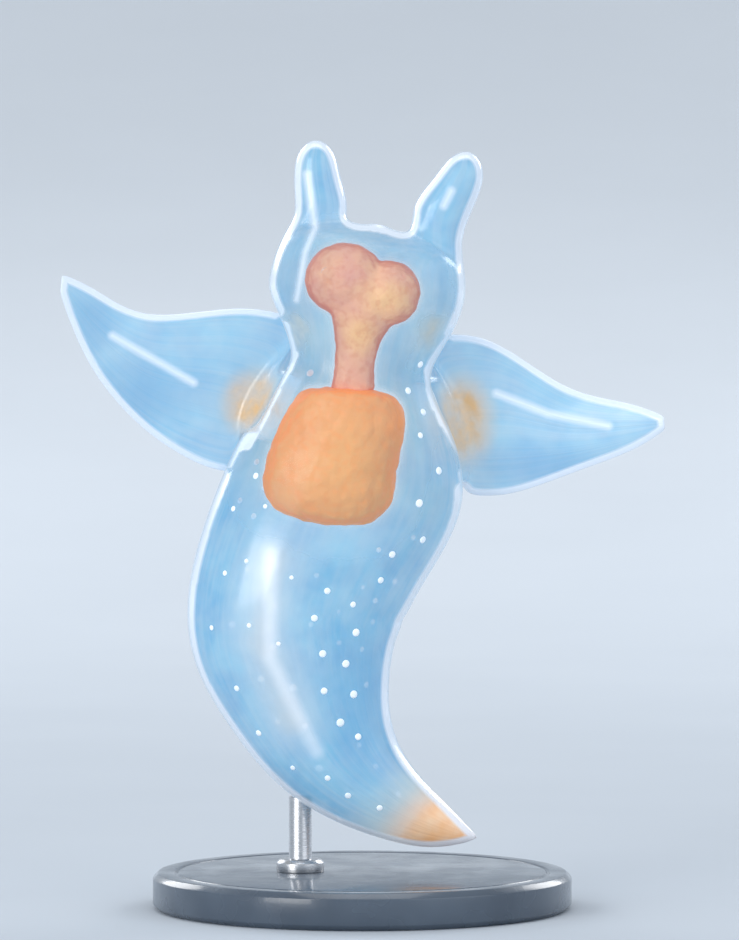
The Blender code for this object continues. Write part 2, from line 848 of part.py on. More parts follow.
def finish(made, look):
    """Gives a part its material, and smooth shading but for sharp edges."""
    colour, roughness = look
    material = bpy.data.materials.new(made.name)
    material.use_nodes = True
    shader = material.node_tree.nodes["Principled BSDF"]
    shader.inputs["Base Color"].default_value = (*colour, 1)
    shader.inputs["Roughness"].default_value = roughness
    shader.inputs["Metallic"].default_value = 1.0 if look is BRUSHED_STEEL else 0.0
    made.data.materials.clear()
    made.data.materials.append(material)
    made.data.shade_smooth()
    made.data.set_sharp_from_angle(angle=math.radians(40))


def main():
    """Clears the scene and builds the animal and its stand."""
    for old in list(bpy.data.objects):
        bpy.data.objects.remove(old)

    skin, slits = whole_skin()
    pockets = [
        buccal_mass(GAP),
        organ("gullet_pocket", (*GULLET[:-1], GULLET_OPENING), GAP),
        organ("gland_pocket", DIGESTIVE_GLAND, GAP),
    ]
    combined(skin, slits + pockets, "DIFFERENCE")
    for part in parted(skin, body_seeds()):
        finish(part, TAIL_ORANGE if part.name == "tail" else CLEAR_FLESH)

    finish(buccal_mass(), BUCCAL_SALMON)
    finish(organ("gullet", GULLET), GLAND_ORANGE)
    finish(organ("digestive_gland", DIGESTIVE_GLAND), GLAND_ORANGE)
    finish(stand_base(), SLATE_ACRYLIC)
    finish(stand_rod(), BRUSHED_STEEL)


if __name__ == "__main__":
    main()
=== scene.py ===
"""Looks of a life-size sea angel, a naked swimming sea snail, on its display stand.

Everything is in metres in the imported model's frame: +Z up, the middle of the stand's underside at
the origin, the animal's back towards -Y and its own left at -X. One skin covers all the flesh. It
is modelled as by hand, from a circle that is extruded from ring to ring, with the horns, wings,
foot and feelers pulled out of patches of it. The organs are seen through it.
"""

import json
import logging
import math
import random
from collections.abc import Callable, Iterable
from dataclasses import dataclass
from enum import Enum

import bmesh
import bpy
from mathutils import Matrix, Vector
from mathutils.bvhtree import BVHTree
from mathutils.kdtree import KDTree

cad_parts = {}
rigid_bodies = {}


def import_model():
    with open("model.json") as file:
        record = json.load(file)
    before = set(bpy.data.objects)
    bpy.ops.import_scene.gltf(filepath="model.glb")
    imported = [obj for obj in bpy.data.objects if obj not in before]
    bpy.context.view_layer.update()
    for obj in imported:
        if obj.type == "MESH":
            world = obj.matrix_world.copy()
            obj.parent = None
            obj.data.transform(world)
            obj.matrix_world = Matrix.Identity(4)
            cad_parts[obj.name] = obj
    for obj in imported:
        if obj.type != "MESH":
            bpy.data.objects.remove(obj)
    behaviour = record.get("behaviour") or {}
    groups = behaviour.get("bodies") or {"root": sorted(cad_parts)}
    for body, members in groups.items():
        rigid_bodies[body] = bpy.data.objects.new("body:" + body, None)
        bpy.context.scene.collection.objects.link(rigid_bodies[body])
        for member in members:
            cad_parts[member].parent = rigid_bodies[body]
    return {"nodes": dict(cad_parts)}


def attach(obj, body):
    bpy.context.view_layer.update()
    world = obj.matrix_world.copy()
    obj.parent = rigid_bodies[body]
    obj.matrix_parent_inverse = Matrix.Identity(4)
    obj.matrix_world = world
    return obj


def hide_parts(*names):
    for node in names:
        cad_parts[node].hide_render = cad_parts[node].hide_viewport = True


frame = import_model()

LOG = logging.getLogger("sea_angel")
MM = 0.001
FLOAT_HEIGHT = 7.0 * MM
BODY = "root"
NOISE_DETAIL = 2.0
CROWN_HUB = 101

Section = Callable[[int, int], Vector]
Colour = tuple[float, float, float]
BLACK: Colour = (0.0, 0.0, 0.0)


class Slot(Enum):
    """The record's material slots, which are named where the pieces are handed over but not read."""

    FLESH = "clear_flesh"
    SACS = "buccal_sacs"
    GUT = "gut"
    BASE = "stand_base"
    ROD = "stand_rod"


@dataclass(frozen=True)
class Station:
    """A level of the body or of an organ, in millimetres above the tail's lowest point."""

    x: float
    y: float
    z: float
    half_width: float
    half_depth: float
    rings: int = 1


@dataclass(frozen=True)
class Rib:
    """A wing's section: its front and rear edge, depth, thickness, and how far it bows outwards."""

    front_x: float
    front_z: float
    rear_x: float
    rear_z: float
    y: float
    thick: float
    bow: float = 0.0


@dataclass(frozen=True)
class Bead:
    """A round section of a horn: its middle and radius."""

    x: float
    y: float
    z: float
    radius: float


@dataclass
class Ring:
    """A ring of a body: its middle, its turn about Y, and its half width and half depth."""

    middle: Vector
    turn: float
    half_width: float
    half_depth: float

    @property
    def across(self) -> Vector:
        """The way across the ring."""
        return Vector((math.cos(self.turn), 0, math.sin(self.turn)))

    def point(self, angle: float) -> Vector:
        """The point at an angle that runs from the right flank towards the belly.

        Args:
            angle: The angle, in radians.

        Returns:
            The point on the ring.
        """
        wide = self.across * (self.half_width * math.cos(angle))
        return self.middle + wide + Vector((0, self.half_depth * math.sin(angle), 0))


def place(x: float, y: float, z: float) -> Vector:
    """A point given in millimetres above the tail's lowest point, in metres above the floor."""
    return Vector((x * MM, y * MM, z * MM + FLOAT_HEIGHT))


def through(values: tuple[float, ...], share: float) -> float:
    """Reads the smooth curve through four values between the second and the third.

    Args:
        values: The four values.
        share: How far from the second to the third, from 0 to 1.

    Returns:
        The value there.
    """
    before, start, end, after = values
    rise = (end - before) / 2
    fall = (after - start) / 2
    square = share * share
    cube = square * share
    return (
        (2 * cube - 3 * square + 1) * start
        + (cube - 2 * square + share) * rise
        + (3 * square - 2 * cube) * end
        + (cube - square) * fall
    )


def sampled(rows: list[tuple[float, ...]], counts: list[int]) -> list[list[float]]:
    """Fills in rows of numbers along smooth curves.

    Args:
        rows: The rows that the curves pass through.
        counts: The number of steps from each row to the next.

    Returns:
        All the rows, the given ones among them.
    """
    last = len(rows) - 1
    made = []
    for i in range(last):
        near = (rows[max(i - 1, 0)], rows[i], rows[i + 1], rows[min(i + 2, last)])
        for step in range(counts[i]):
            made.append([through(four, step / counts[i]) for four in zip(*near)])
    made.append(list(rows[last]))
    return made


def rings_of(stations: Iterable[Station], segments: int, reach: int = 1) -> list[Ring]:
    """The rings along a row of stations, square to their run.

    Args:
        stations: The stations, from the top down.
        segments: The points of each ring, which a smoothed cage draws inwards.
        reach: The run is taken over this many rings to each side.

    Returns:
        The rings.
    """
    rows = [(s.x, s.y, s.z, s.half_width, s.half_depth) for s in stations]
    levels = sampled(rows, [s.rings for s in stations])
    middles = [place(*level[:3]) for level in levels]
    shrink = (2 + math.cos(2 * math.pi / segments)) / 3
    rings = []
    for i, level in enumerate(levels):
        run = middles[min(i + reach, len(levels) - 1)] - middles[max(i - reach, 0)]
        turn = math.atan2(run.x, -run.z)
        rings.append(Ring(middles[i], turn, level[3] * MM / shrink, level[4] * MM / shrink))
    return rings


def deselect_all() -> None:
    """Leaves nothing selected, in object mode."""
    if bpy.context.object is not None and bpy.context.object.mode != "OBJECT":
        bpy.ops.object.mode_set(mode="OBJECT")
    bpy.ops.object.select_all(action="DESELECT")


def apply_modifier(piece: bpy.types.Object, kind: str, **settings: object) -> None:
    """Adds one modifier to a piece and applies it.

    Args:
        piece: The piece.
        kind: The modifier's type.
        settings: Its settings.
    """
    deselect_all()
    piece.select_set(True)
    bpy.context.view_layer.objects.active = piece
    modifier = piece.modifiers.new(kind.lower(), kind)
    for name, value in settings.items():
        setattr(modifier, name, value)
    bpy.ops.object.modifier_apply(modifier=modifier.name)


def join_pieces(name: str, pieces: list[bpy.types.Object]) -> bpy.types.Object:
    """Joins pieces into one object.

    Args:
        name: The name of the joined piece.
        pieces: The pieces.

    Returns:
        The joined piece.
    """
    deselect_all()
    for piece in pieces:
        piece.select_set(True)
    bpy.context.view_layer.objects.active = pieces[0]
    if len(pieces) > 1:
        bpy.ops.object.join()
    pieces[0].name = name
    pieces[0].data.name = name
    return pieces[0]


def hand_over(piece: bpy.types.Object, slot: Slot, *nodes: str) -> bpy.types.Object:
    """Lets a finished piece ride on the body and stand for CAD nodes.

    Args:
        piece: The finished piece.
        slot: The record's material slot for its finish; it is not used.
        nodes: The CAD nodes that it replaces.

    Returns:
        The same piece.
    """
    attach(piece, BODY)
    if nodes:
        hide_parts(*nodes)
    LOG.info("%s: %d faces", piece.name, len(piece.data.polygons))
    return piece


class Clay:
    """A mesh that is shaped in edit mode, whose vertices know their row and column."""

    ring_step: float = 0.2

    def __init__(self, name: str, segments: int) -> None:
        """Starts from a circle.

        Args:
            name: The piece's name.
            segments: The circle's number of points.
        """
        deselect_all()
        bpy.ops.mesh.primitive_circle_add(vertices=segments, radius=1.0, fill_type="NOTHING")
        self.piece = bpy.context.object
        self.piece.name = name
        self.piece.data.name = name
        self.segments = segments
        for layer in ("row", "column"):
            self.piece.data.attributes.new(layer, "INT", "POINT")
        for layer in ("plain", "wing"):
            self.piece.data.attributes.new(layer, "FLOAT", "POINT")
        self.piece.data.attributes.new("unbent", "FLOAT_VECTOR", "POINT")
        bpy.ops.object.mode_set(mode="EDIT")
        bpy.ops.mesh.select_mode(type="VERT")
        column = self.column
        for vertex in self.mesh.verts:
            turn = math.atan2(vertex.co.y, vertex.co.x) / (2 * math.pi)
            vertex[column] = round(turn * segments) % segments

    @property
    def mesh(self) -> bmesh.types.BMesh:
        """The mesh as edit mode holds it now, kept so that its points stay valid."""
        self.held = bmesh.from_edit_mesh(self.piece.data)
        return self.held

    @property
    def row(self) -> bmesh.types.BMLayerItem:
        """The layer of the vertices' rows."""
        return self.mesh.verts.layers.int["row"]

    @property
    def column(self) -> bmesh.types.BMLayerItem:
        """The layer of the vertices' columns."""
        return self.mesh.verts.layers.int["column"]

    def value(self, name: str) -> bmesh.types.BMLayerItem:
        """The layer of a value: plain or wing."""
        return self.mesh.verts.layers.float[name]

    def picked(self) -> list[bmesh.types.BMVert]:
        """The selected vertices."""
        return [v for v in self.mesh.verts if v.select]

    def number(self, row: int) -> None:
        """Gives the selected vertices a row."""
        layer = self.row
        for vertex in self.picked():
            vertex[layer] = row

    def straighten(self) -> None:
        """Stores where each vertex would lie on a straight round body of a radius of 1."""
        row, column = self.row, self.column
        unbent = self.mesh.verts.layers.float_vector["unbent"]
        for vertex in self.mesh.verts:
            turn = 2 * math.pi * vertex[column] / self.segments
            vertex[unbent] = (math.cos(turn), math.sin(turn), vertex[row] * self.ring_step)

    def pick_row(self, row: int) -> None:
        """Selects the vertices and edges of a row."""
        bpy.ops.mesh.select_mode(type="VERT")
        bpy.ops.mesh.select_all(action="DESELECT")
        layer = self.row
        for vertex in self.mesh.verts:
            vertex.select_set(vertex[layer] == row)
        self.mesh.select_flush_mode()

    def pick_patch(self, rows: tuple[int, int], columns: tuple[int, int]) -> None:
        """Selects the faces between two rows and two columns."""
        bpy.ops.mesh.select_mode(type="FACE")
        bpy.ops.mesh.select_all(action="DESELECT")
        row, column = self.row, self.column
        for face in self.mesh.faces:
            spots = [(v[row], v[column]) for v in face.verts]
            inside = (rows[0] <= r <= rows[1] and columns[0] <= c <= columns[1] for r, c in spots)
            face.select_set(all(inside))

    def scale(self, wide: float, deep: float, about: Vector) -> None:
        """Scales the selection in its ring's plane and along Y."""
        bpy.ops.transform.resize(value=(wide, deep, wide), center_override=about)

    def turn(self, angle: float, about: Vector) -> None:
        """Turns the selection so that +X swings towards +Z."""
        bpy.ops.transform.rotate(value=angle, orient_axis="Y", center_override=about)

    def loft(self, rings: list[Ring]) -> None:
        """Extrudes the circle from ring to ring and leaves both ends open.

        Args:
            rings: The rings to pass through.
        """
        bpy.ops.mesh.select_all(action="SELECT")
        origin = Vector()
        self.scale(rings[0].half_width, rings[0].half_depth, origin)
        self.turn(rings[0].turn, origin)
        bpy.ops.transform.translate(value=rings[0].middle)
        self.number(0)
        for i in range(1, len(rings)):
            before, ring = rings[i - 1], rings[i]
            step = {"value": ring.middle - before.middle}
            bpy.ops.mesh.extrude_region_move(TRANSFORM_OT_translate=step)
            self.turn(ring.turn - before.turn, ring.middle)
            wide = ring.half_width / before.half_width
            self.scale(wide, ring.half_depth / before.half_depth, ring.middle)
            self.number(i)

    def close_to_tip(self, last: Ring, tip: Vector) -> None:
        """Draws the open end that is selected out to a point."""
        step = {"value": tip - last.middle}
        bpy.ops.mesh.extrude_region_move(TRANSFORM_OT_translate=step)
        bpy.ops.mesh.merge(type="CENTER")

    def fill_end(self, row: int, corner: int, span: int) -> None:
        """Closes an end with a square grid of faces, whose inner points get the row -1.

        Args:
            row: The row of the open end.
            corner: The column of one corner of the grid.
            span: The number of faces along each side.
        """
        self.pick_row(row)
        layer = self.column
        mesh = self.mesh
        start = next(v for v in mesh.verts if v.select and v[layer] == corner)
        mesh.select_history.clear()
        mesh.select_history.add(start)
        bmesh.update_edit_mesh(self.piece.data)
        bpy.ops.mesh.fill_grid(span=span, offset=0)
        bpy.ops.mesh.select_less()
        self.number(-1)

    def grow(self, sections: Iterable[Section], plain: float = 0.0, wing: float = 0.0) -> None:
        """Extrudes the selected faces through sections.

        Args:
            sections: Where each extrusion puts a row and column.
            plain: 1 where the new faces get no painted white rim highlight, else 0.
            wing: 1 where the new faces belong to a wing, else 0.
        """
        for section in sections:
            bpy.ops.mesh.extrude_region_move(TRANSFORM_OT_translate={"value": (0, 0, 0)})
            row, column = self.row, self.column
            plain_layer, wing_layer = self.value("plain"), self.value("wing")
            for vertex in self.picked():
                vertex.co = section(vertex[row], vertex[column])
                vertex[plain_layer] = plain
                vertex[wing_layer] = wing
            bmesh.update_edit_mesh(self.piece.data)

    def finish(self, levels: int) -> bpy.types.Object:
        """Turns the faces outwards, smooths the cage and leaves edit mode.

        Args:
            levels: The levels of subdivision.

        Returns:
            The piece.
        """
        bpy.ops.mesh.select_all(action="SELECT")
        bpy.ops.mesh.normals_make_consistent(inside=False)
        bpy.ops.object.mode_set(mode="OBJECT")
        apply_modifier(self.piece, "SUBSURF", levels=levels, render_levels=levels)
        bpy.ops.object.shade_smooth()
        return self.piece


def disc_spot(u: float, v: float) -> tuple[float, float]:
    """The place in a unit disc of a place in a square, whose sides lie at -1 and 1."""
    return u * math.sqrt(1 - v * v / 2), v * math.sqrt(1 - u * u / 2)


class Patch:
    """A patch of the skin from which a bud grows."""

    def __init__(
        self,
        rings: list[Ring],
        segments: int,
        rows: tuple[int, int],
        columns: tuple[int, int],
    ) -> None:
        """Measures the patch.

        Args:
            rings: The body's rings.
            segments: The points of each ring.
            rows: The first and last row.
            columns: The first and last column.
        """
        self.rows = rows
        self.columns = columns
        step = 2 * math.pi / segments
        points = {
            (row, column): rings[row].point(step * column)
            for row in range(rows[0], rows[1] + 1)
            for column in range(columns[0], columns[1] + 1)
        }
        corners = [points[r, c] for r in rows for c in columns]
        long_way = corners[2] + corners[3] - corners[0] - corners[1]
        round_way = corners[1] + corners[3] - corners[0] - corners[2]
        self.middle = sum(points.values(), Vector()) / len(points)
        self.along = long_way.normalized()
        self.out = round_way.cross(self.along).normalized()
        centre = (rings[rows[0]].middle + rings[rows[1]].middle) / 2
        if self.out.dot(self.middle - centre) < 0:
            self.out = -self.out
        self.around = self.out.cross(self.along)
        if self.around.dot(round_way) < 0:
            self.around = -self.around
        self.half_long = long_way.length / 4
        self.half_round = round_way.length / 4

    def shares(self, row: int, column: int) -> tuple[float, float]:
        """How far a spot lies along and round the patch, each from -1 to 1."""
        along = 2 * (row - self.rows[0]) / (self.rows[1] - self.rows[0]) - 1
        around = 2 * (column - self.columns[0]) / (self.columns[1] - self.columns[0]) - 1
        return along, around

    def flat(self, height: float, long_share: float = 1.0, round_share: float = 1.0) -> Section:
        """A flat section over the patch.

        Args:
            height: Its height over the patch, in millimetres.
            long_share: Its length, as a share of the patch's.
            round_share: Its width, as a share of the patch's.

        Returns:
            The section.
        """

        def section(row: int, column: int) -> Vector:
            """Places one spot of the flat section."""
            along, around = self.shares(row, column)
            side = self.around * (around * self.half_round * round_share)
            down = self.along * (along * self.half_long * long_share)
            return self.middle + self.out * (height * MM) + down + side

        return section


@dataclass
class Skin:
    """The one skin over the head, horns, neck, trunk, tail, wings, foot and nape feelers."""

    segments: int = 24
    levels: int = 3
    bend_reach: int = 2
    crown_steps: tuple[float, ...] = (1.44, 0.86, 0.30)
    horn_root_share: float = 2 / 3
    horn_dome: float = 0.9
    lip_half_length: float = 2.3
    lip_half_width: float = 1.15
    lip_height: float = 0.35
    crest_width: float = 0.62
    crest_length: float = 0.9
    slit_half_width: float = 0.15
    slit_length: float = 0.72
    slit_depth: float = 0.35
    wing_rows: tuple[int, int] = (6, 11)
    wing_loops: int = 2
    wing_stalk: float = 2.2
    stalk_steps: tuple[tuple[float, float, float], ...] = ((0.3, 0.92, 0.9), (1.0, 0.86, 0.8))
    margin_share: float = 0.45
    margin_reach: float = 0.35
    feeler_radius: float = 0.75
    feeler_length: float = 1.9
    side_lobe_height: float = 2.1
    side_lobe_thickness: float = 1.1
    tongue_length: float = 5.6
    tongue_lift: float = 2.0
    tongue_thickness: float = 1.1
    edge_facing: float = 0.2
    free_step: float = 0.3
    line_steps: int = 8
    line_reach: float = 1.4
    root_reach: float = 1.2
    wing_cut: float = 4.0
    view_from: float = 0.1
    organ_plane: float = 0.3
    back_fade: float = 4.5
    belly_fade: float = 0.5
    window_floor: float = 28.0
    window_softness: int = 3
    stations: tuple[Station, ...] = (
        Station(1.3, -0.4, 65.2, 10.0, 7.0, 2),
        Station(0.4, -0.5, 60.6, 10.9, 8.3, 2),
        Station(0.5, -0.3, 56.1, 9.0, 7.3, 1),
        Station(-0.1, 0.0, 52.9, 7.5, 6.4, 3),
        Station(-0.8, 0.2, 47.1, 9.8, 8.1, 3),
        Station(-1.0, 0.4, 41.0, 12.8, 9.7, 2),
        Station(-4.8, 0.6, 33.5, 12.4, 9.9, 3),
        Station(-7.3, 0.5, 26.5, 11.9, 9.6, 2),
        Station(-7.2, 0.2, 22.0, 11.5, 8.9, 2),
        Station(-5.9, -0.2, 16.8, 9.6, 7.7, 2),
        Station(-2.9, -0.8, 10.2, 7.2, 5.8, 2),
        Station(2.2, -1.5, 5.4, 4.7, 4.0, 2),
        Station(8.4, -2.2, 2.1, 2.6, 2.2, 2),
        Station(12.8, -2.7, 0.9, 0.0, 0.0),
    )
    left_horn: tuple[Bead, ...] = (
        Bead(-4.3, -0.4, 69.6, 2.9),
        Bead(-4.9, -0.6, 72.4, 2.6),
        Bead(-5.1, -0.8, 75.2, 2.3),
        Bead(-4.8, -0.9, 76.7, 1.4),
    )
    right_horn: tuple[Bead, ...] = (
        Bead(8.0, -0.4, 68.4, 3.2),
        Bead(9.9, -0.6, 71.3, 2.7),
        Bead(11.3, -0.8, 74.0, 2.35),
        Bead(11.3, -0.9, 75.5, 1.4),
    )
    left_wing: tuple[Rib, ...] = (
        Rib(-5.8, 56.6, -13.7, 41.2, 6.4, 2.4, -3.2),
        Rib(-13.0, 58.6, -17.3, 41.7, 5.2, 1.9, -1.5),
        Rib(-23.5, 57.5, -23.9, 45.6, 3.4, 1.4),
        Rib(-29.5, 60.8, -29.8, 52.5, 0.8, 1.1),
        Rib(-32.8, 62.4, -33.0, 60.6, -1.2, 0.8),
    )
    right_wing: tuple[Rib, ...] = (
        Rib(5.8, 54.9, 11.3, 38.7, 6.4, 2.4, 3.2),
        Rib(13.6, 55.4, 16.2, 38.6, 5.2, 1.9, 1.5),
        Rib(22.3, 49.7, 23.4, 41.1, 3.4, 1.4),
        Rib(29.3, 48.2, 29.7, 43.5, 0.8, 1.1),
        Rib(33.0, 46.9, 33.1, 45.7, -1.2, 0.8),
    )

    def __post_init__(self) -> None:
        """Works out the rings."""
        self.rings = rings_of(self.stations, self.segments, self.bend_reach)

    def build(self) -> bpy.types.Object:
        """Models the whole skin.

        Returns:
            The piece.
        """
        clay = Clay("skin", self.segments)
        clay.loft(self.rings[:-1])
        clay.close_to_tip(self.rings[-2], self.rings[-1].middle)
        clay.straighten()
        self.shape_crown(clay)
        self.pull_horns(clay)
        self.pull_wings(clay)
        self.pull_feelers(clay)
        self.pull_foot(clay)
        self.piece = clay.finish(self.levels)
        return self.piece

    def shape_crown(self, clay: Clay) -> None:
        """Closes the head with a grid and raises it to a dome."""
        clay.fill_end(0, self.segments // 8, self.segments // 4)
        top = self.rings[0]
        up = (self.rings[0].middle - self.rings[1].middle).normalized()
        for step in self.crown_steps:
            bpy.ops.transform.translate(value=up * (step * MM))
            bpy.ops.mesh.select_less()
        self.crown_up = up
        self.crown_middle = top.middle + up * (sum(self.crown_steps) * MM)

    def pick_crown(self, clay: Clay, root: Vector) -> None:
        """Selects the four faces round the crown's grid point nearest to a place."""
        bpy.ops.mesh.select_mode(type="FACE")
        bpy.ops.mesh.select_all(action="DESELECT")
        row, column = clay.row, clay.column
        inner = [v for v in clay.mesh.verts if v[row] == -1]
        hub = min(inner, key=lambda v: (v.co - root).length)
        across = self.rings[0].across
        for face in hub.link_faces:
            face.select_set(True)
            for vertex in face.verts:
                side = vertex.co - hub.co
                wide, deep = side.dot(across), side.y
                far = max(abs(wide), abs(deep))
                vertex[row] = CROWN_HUB + (round(wide / far) if far else 0)
                vertex[column] = CROWN_HUB + (round(deep / far) if far else 0)

    def horn_sections(self, beads: tuple[Bead, ...]) -> list[Section]:
        """The sections of a horn, each square to its run.

        Args:
            beads: The horn's round sections.

        Returns:
            The sections.
        """
        shrink = (2 + math.cos(math.pi / 4)) / 3
        sections = []
        for k, bead in enumerate(beads):
            ahead = beads[min(k + 1, len(beads) - 1)]
            behind = beads[max(k - 1, 0)]
            run = place(ahead.x, ahead.y, ahead.z) - place(behind.x, behind.y, behind.z)
            across = Vector((run.z, 0, -run.x)).normalized()
            radius = bead.radius * MM / shrink
            dome = run.normalized() * (self.horn_dome * MM if bead is beads[-1] else 0)
            sections.append(self.disc(place(bead.x, bead.y, bead.z), across, radius, radius, dome))
        return sections

    @staticmethod
    def disc(
        middle: Vector,
        across: Vector,
        wide: float,
        deep: float,
        dome: Vector = Vector(),
    ) -> Section:
        """A round section for a patch of the crown.

        Args:
            middle: Its middle.
            across: Its wide way.
            wide: Its half width.
            deep: Its half depth along Y.
            dome: How far its middle rises over its rim.

        Returns:
            The section.
        """

        def section(row: int, column: int) -> Vector:
            """Places one spot of the disc."""
            u, v = disc_spot(row - CROWN_HUB, column - CROWN_HUB)
            return middle + across * (wide * u) + Vector((0, deep * v, 0)) + dome * (1 - u * u - v * v)

        return section

    def pull_horns(self, clay: Clay) -> None:
        """Pulls both horns and the lips of the mouth out of the crown."""
        top = self.rings[0]
        side = top.across * (top.half_width * self.horn_root_share)
        low = top.middle + self.crown_up * (self.crown_steps[0] * MM)
        for beads, root in ((self.left_horn, low - side), (self.right_horn, low + side)):
            self.pick_crown(clay, root)
            clay.grow(self.horn_sections(beads))
        self.pick_crown(clay, self.crown_middle)
        wide, long = self.lip_half_width, self.lip_half_length
        sizes = (
            (wide, long, 0.0),
            (wide * self.crest_width, long * self.crest_length, self.lip_height),
            (self.slit_half_width, long * self.slit_length, -self.slit_depth),
        )
        lips = [
            self.disc(self.crown_middle + self.crown_up * (up * MM), top.across, half * MM, deep * MM)
            for half, deep, up in sizes
        ]
        clay.grow(lips)

    def wing_sections(self, patch: Patch, ribs: tuple[Rib, ...]) -> list[Section]:
        """A wing's sections: a flat stalk over the patch, then slices of the blade to its tip.

        Args:
            patch: The wing's root on the trunk.
            ribs: The wing's ribs.

        Returns:
            The sections.
        """
        rows = [(r.front_x, r.front_z, r.rear_x, r.rear_z, r.y, r.thick, r.bow) for r in ribs]
        sections = [patch.flat(self.wing_stalk * up, long, wide) for up, long, wide in self.stalk_steps]
        belly_side = math.copysign(1.0, patch.around.y)
        for level in sampled(rows, [self.wing_loops] * len(rows)):
            front = place(level[0], level[4], level[1])
            rear = place(level[2], level[4], level[3])
            thick, bow = level[5] * MM, level[6] * MM

            def section(
                row: int,
                column: int,
                front: Vector = front,
                rear: Vector = rear,
                thick: float = thick,
                bow: float = bow,
            ) -> Vector:
                """Places one spot of a slice of the blade."""
                along, around = patch.shares(row, column)
                chord = rear - front
                edge = abs(along) == 1
                reach = self.margin_reach * thick if edge and around == 0 else 0
                depth = thick * (self.margin_share if edge else 1) / 2
                middle = front + chord * ((along + 1) / 2) + Vector((bow * (1 - along * along), 0, 0))
                out = chord.normalized() * (reach * along)
                return middle + out + Vector((0, depth * around * belly_side, 0))

            sections.append(section)
        return sections

    def pull_wings(self, clay: Clay) -> None:
        """Pulls both wings out of the trunk's sides."""
        for columns, ribs in (((9, 11), self.left_wing), ((1, 3), self.right_wing)):
            patch = Patch(self.rings, self.segments, self.wing_rows, columns)
            clay.pick_patch(self.wing_rows, columns)
            clay.grow(self.wing_sections(patch, ribs), wing=1.0)

    def pull_feelers(self, clay: Clay) -> None:
        """Pulls the two small feelers out of the nape."""
        for columns in ((16, 17), (19, 20)):
            patch = Patch(self.rings, self.segments, (1, 2), columns)
            wide = self.feeler_radius * MM / patch.half_round
            long = self.feeler_radius * MM / patch.half_long
            clay.pick_patch((1, 2), columns)
            steps = ((0.1, 1.4), (self.feeler_length * 0.6, 1.1), (self.feeler_length, 0.6))
            feeler = [patch.flat(height, long * share, wide * share) for height, share in steps]
            clay.grow(feeler, plain=1.0)

    def pull_foot(self, clay: Clay) -> None:
        """Pulls the foot's two side lobes and its middle tongue out of the belly side."""
        for columns in ((4, 5), (7, 8)):
            patch = Patch(self.rings, self.segments, (7, 9), columns)
            wide = self.side_lobe_thickness / 2 * MM / patch.half_round
            clay.pick_patch((7, 9), columns)
            lobe = [patch.flat(0.9, 0.95, wide * 1.2), patch.flat(self.side_lobe_height, 0.7, wide * 0.8)]
            clay.grow(lobe, plain=1.0)
        patch = Patch(self.rings, self.segments, (10, 11), (5, 7))
        clay.pick_patch((10, 11), (5, 7))
        steps = ((0.9, 0.9, 0.0), (self.tongue_lift, 0.75, 0.35), (self.tongue_lift, 0.45, 1.0))
        clay.grow([self.tongue_section(patch, *step) for step in steps], plain=1.0)

    def tongue_section(self, patch: Patch, lift: float, wide: float, reach: float) -> Section:
        """One section of the foot's tongue.

        Args:
            patch: The tongue's root.
            lift: Its height over the belly, in millimetres.
            wide: Its width, as a share of the root's.
            reach: How far down the belly it lies, from 0 to 1.

        Returns:
            The section.
        """
        half = self.tongue_thickness / 2

        def section(row: int, column: int) -> Vector:
            """Places one spot of the tongue."""
            along, around = patch.shares(row, column)
            down = patch.along * ((reach * self.tongue_length + along * half * (1 - reach)) * MM)
            out = patch.out * ((lift - along * half * min(reach * 3, 1)) * MM)
            if reach == 0:
                down = patch.along * (along * patch.half_long * wide)
            return patch.middle + out + down + patch.around * (around * patch.half_round * wide)

        return section

    def surface(self) -> BVHTree:
        """A search tree of the finished skin."""
        graph = bpy.context.evaluated_depsgraph_get()
        return BVHTree.FromObject(self.piece, graph)

    def root_lines(self) -> list[Vector]:
        """Points along the trunk's own two edges where the wings leave it."""
        first, last = self.wing_rows
        shrink = (2 + math.cos(2 * math.pi / self.segments)) / 3
        points = []
        for high, low in zip(self.rings[first - 2 : last + 1], self.rings[first - 1 : last + 2]):
            for step in range(self.line_steps):
                share = step / self.line_steps
                middle = high.middle.lerp(low.middle, share)
                half = (high.half_width + (low.half_width - high.half_width) * share) * shrink
                points += [middle - high.across * half, middle + high.across * half]
        return points

    def mark_outline(self) -> None:
        """Stores how near each point lies to the outline seen from the back, from 0 to 1, where the painted
        white rim highlight goes.
        """
        mesh = self.piece.data
        surface = self.surface()
        plain = mesh.attributes["plain"].data
        outline = mesh.attributes.new("outline", "FLOAT", "POINT").data
        wing = mesh.attributes["wing"].data
        edges = []
        for vertex in mesh.vertices:
            if abs(vertex.normal.y) < self.edge_facing and plain[vertex.index].value == 0:
                beside = vertex.co + vertex.normal * (self.free_step * MM)
                start = Vector((beside.x, -self.view_from, beside.z))
                if surface.ray_cast(start, Vector((0, 1, 0)))[0] is None:
                    edges.append(vertex.co)
        free, roots = self.seen_tree(edges), self.seen_tree(self.root_lines())
        for vertex in mesh.vertices:
            spot = (vertex.co.x, 0, vertex.co.z)
            at_edge = 1.0 - free.find(spot)[2] / (self.line_reach * MM)
            at_root = 1.0 - roots.find(spot)[2] / (self.root_reach * MM)
            on_wing = min(1.0, self.wing_cut * wing[vertex.index].value)
            value = max(at_edge, at_root * (1.0 - on_wing), 0.0)
            outline[vertex.index].value = value * (1.0 - plain[vertex.index].value)

    def seen_tree(self, points: list[Vector]) -> KDTree:
        """A search tree of points as they are seen from the back."""
        tree = KDTree(len(points))
        for index, point in enumerate(points):
            tree.insert((point.x, 0, point.z), index)
        tree.balance()
        return tree

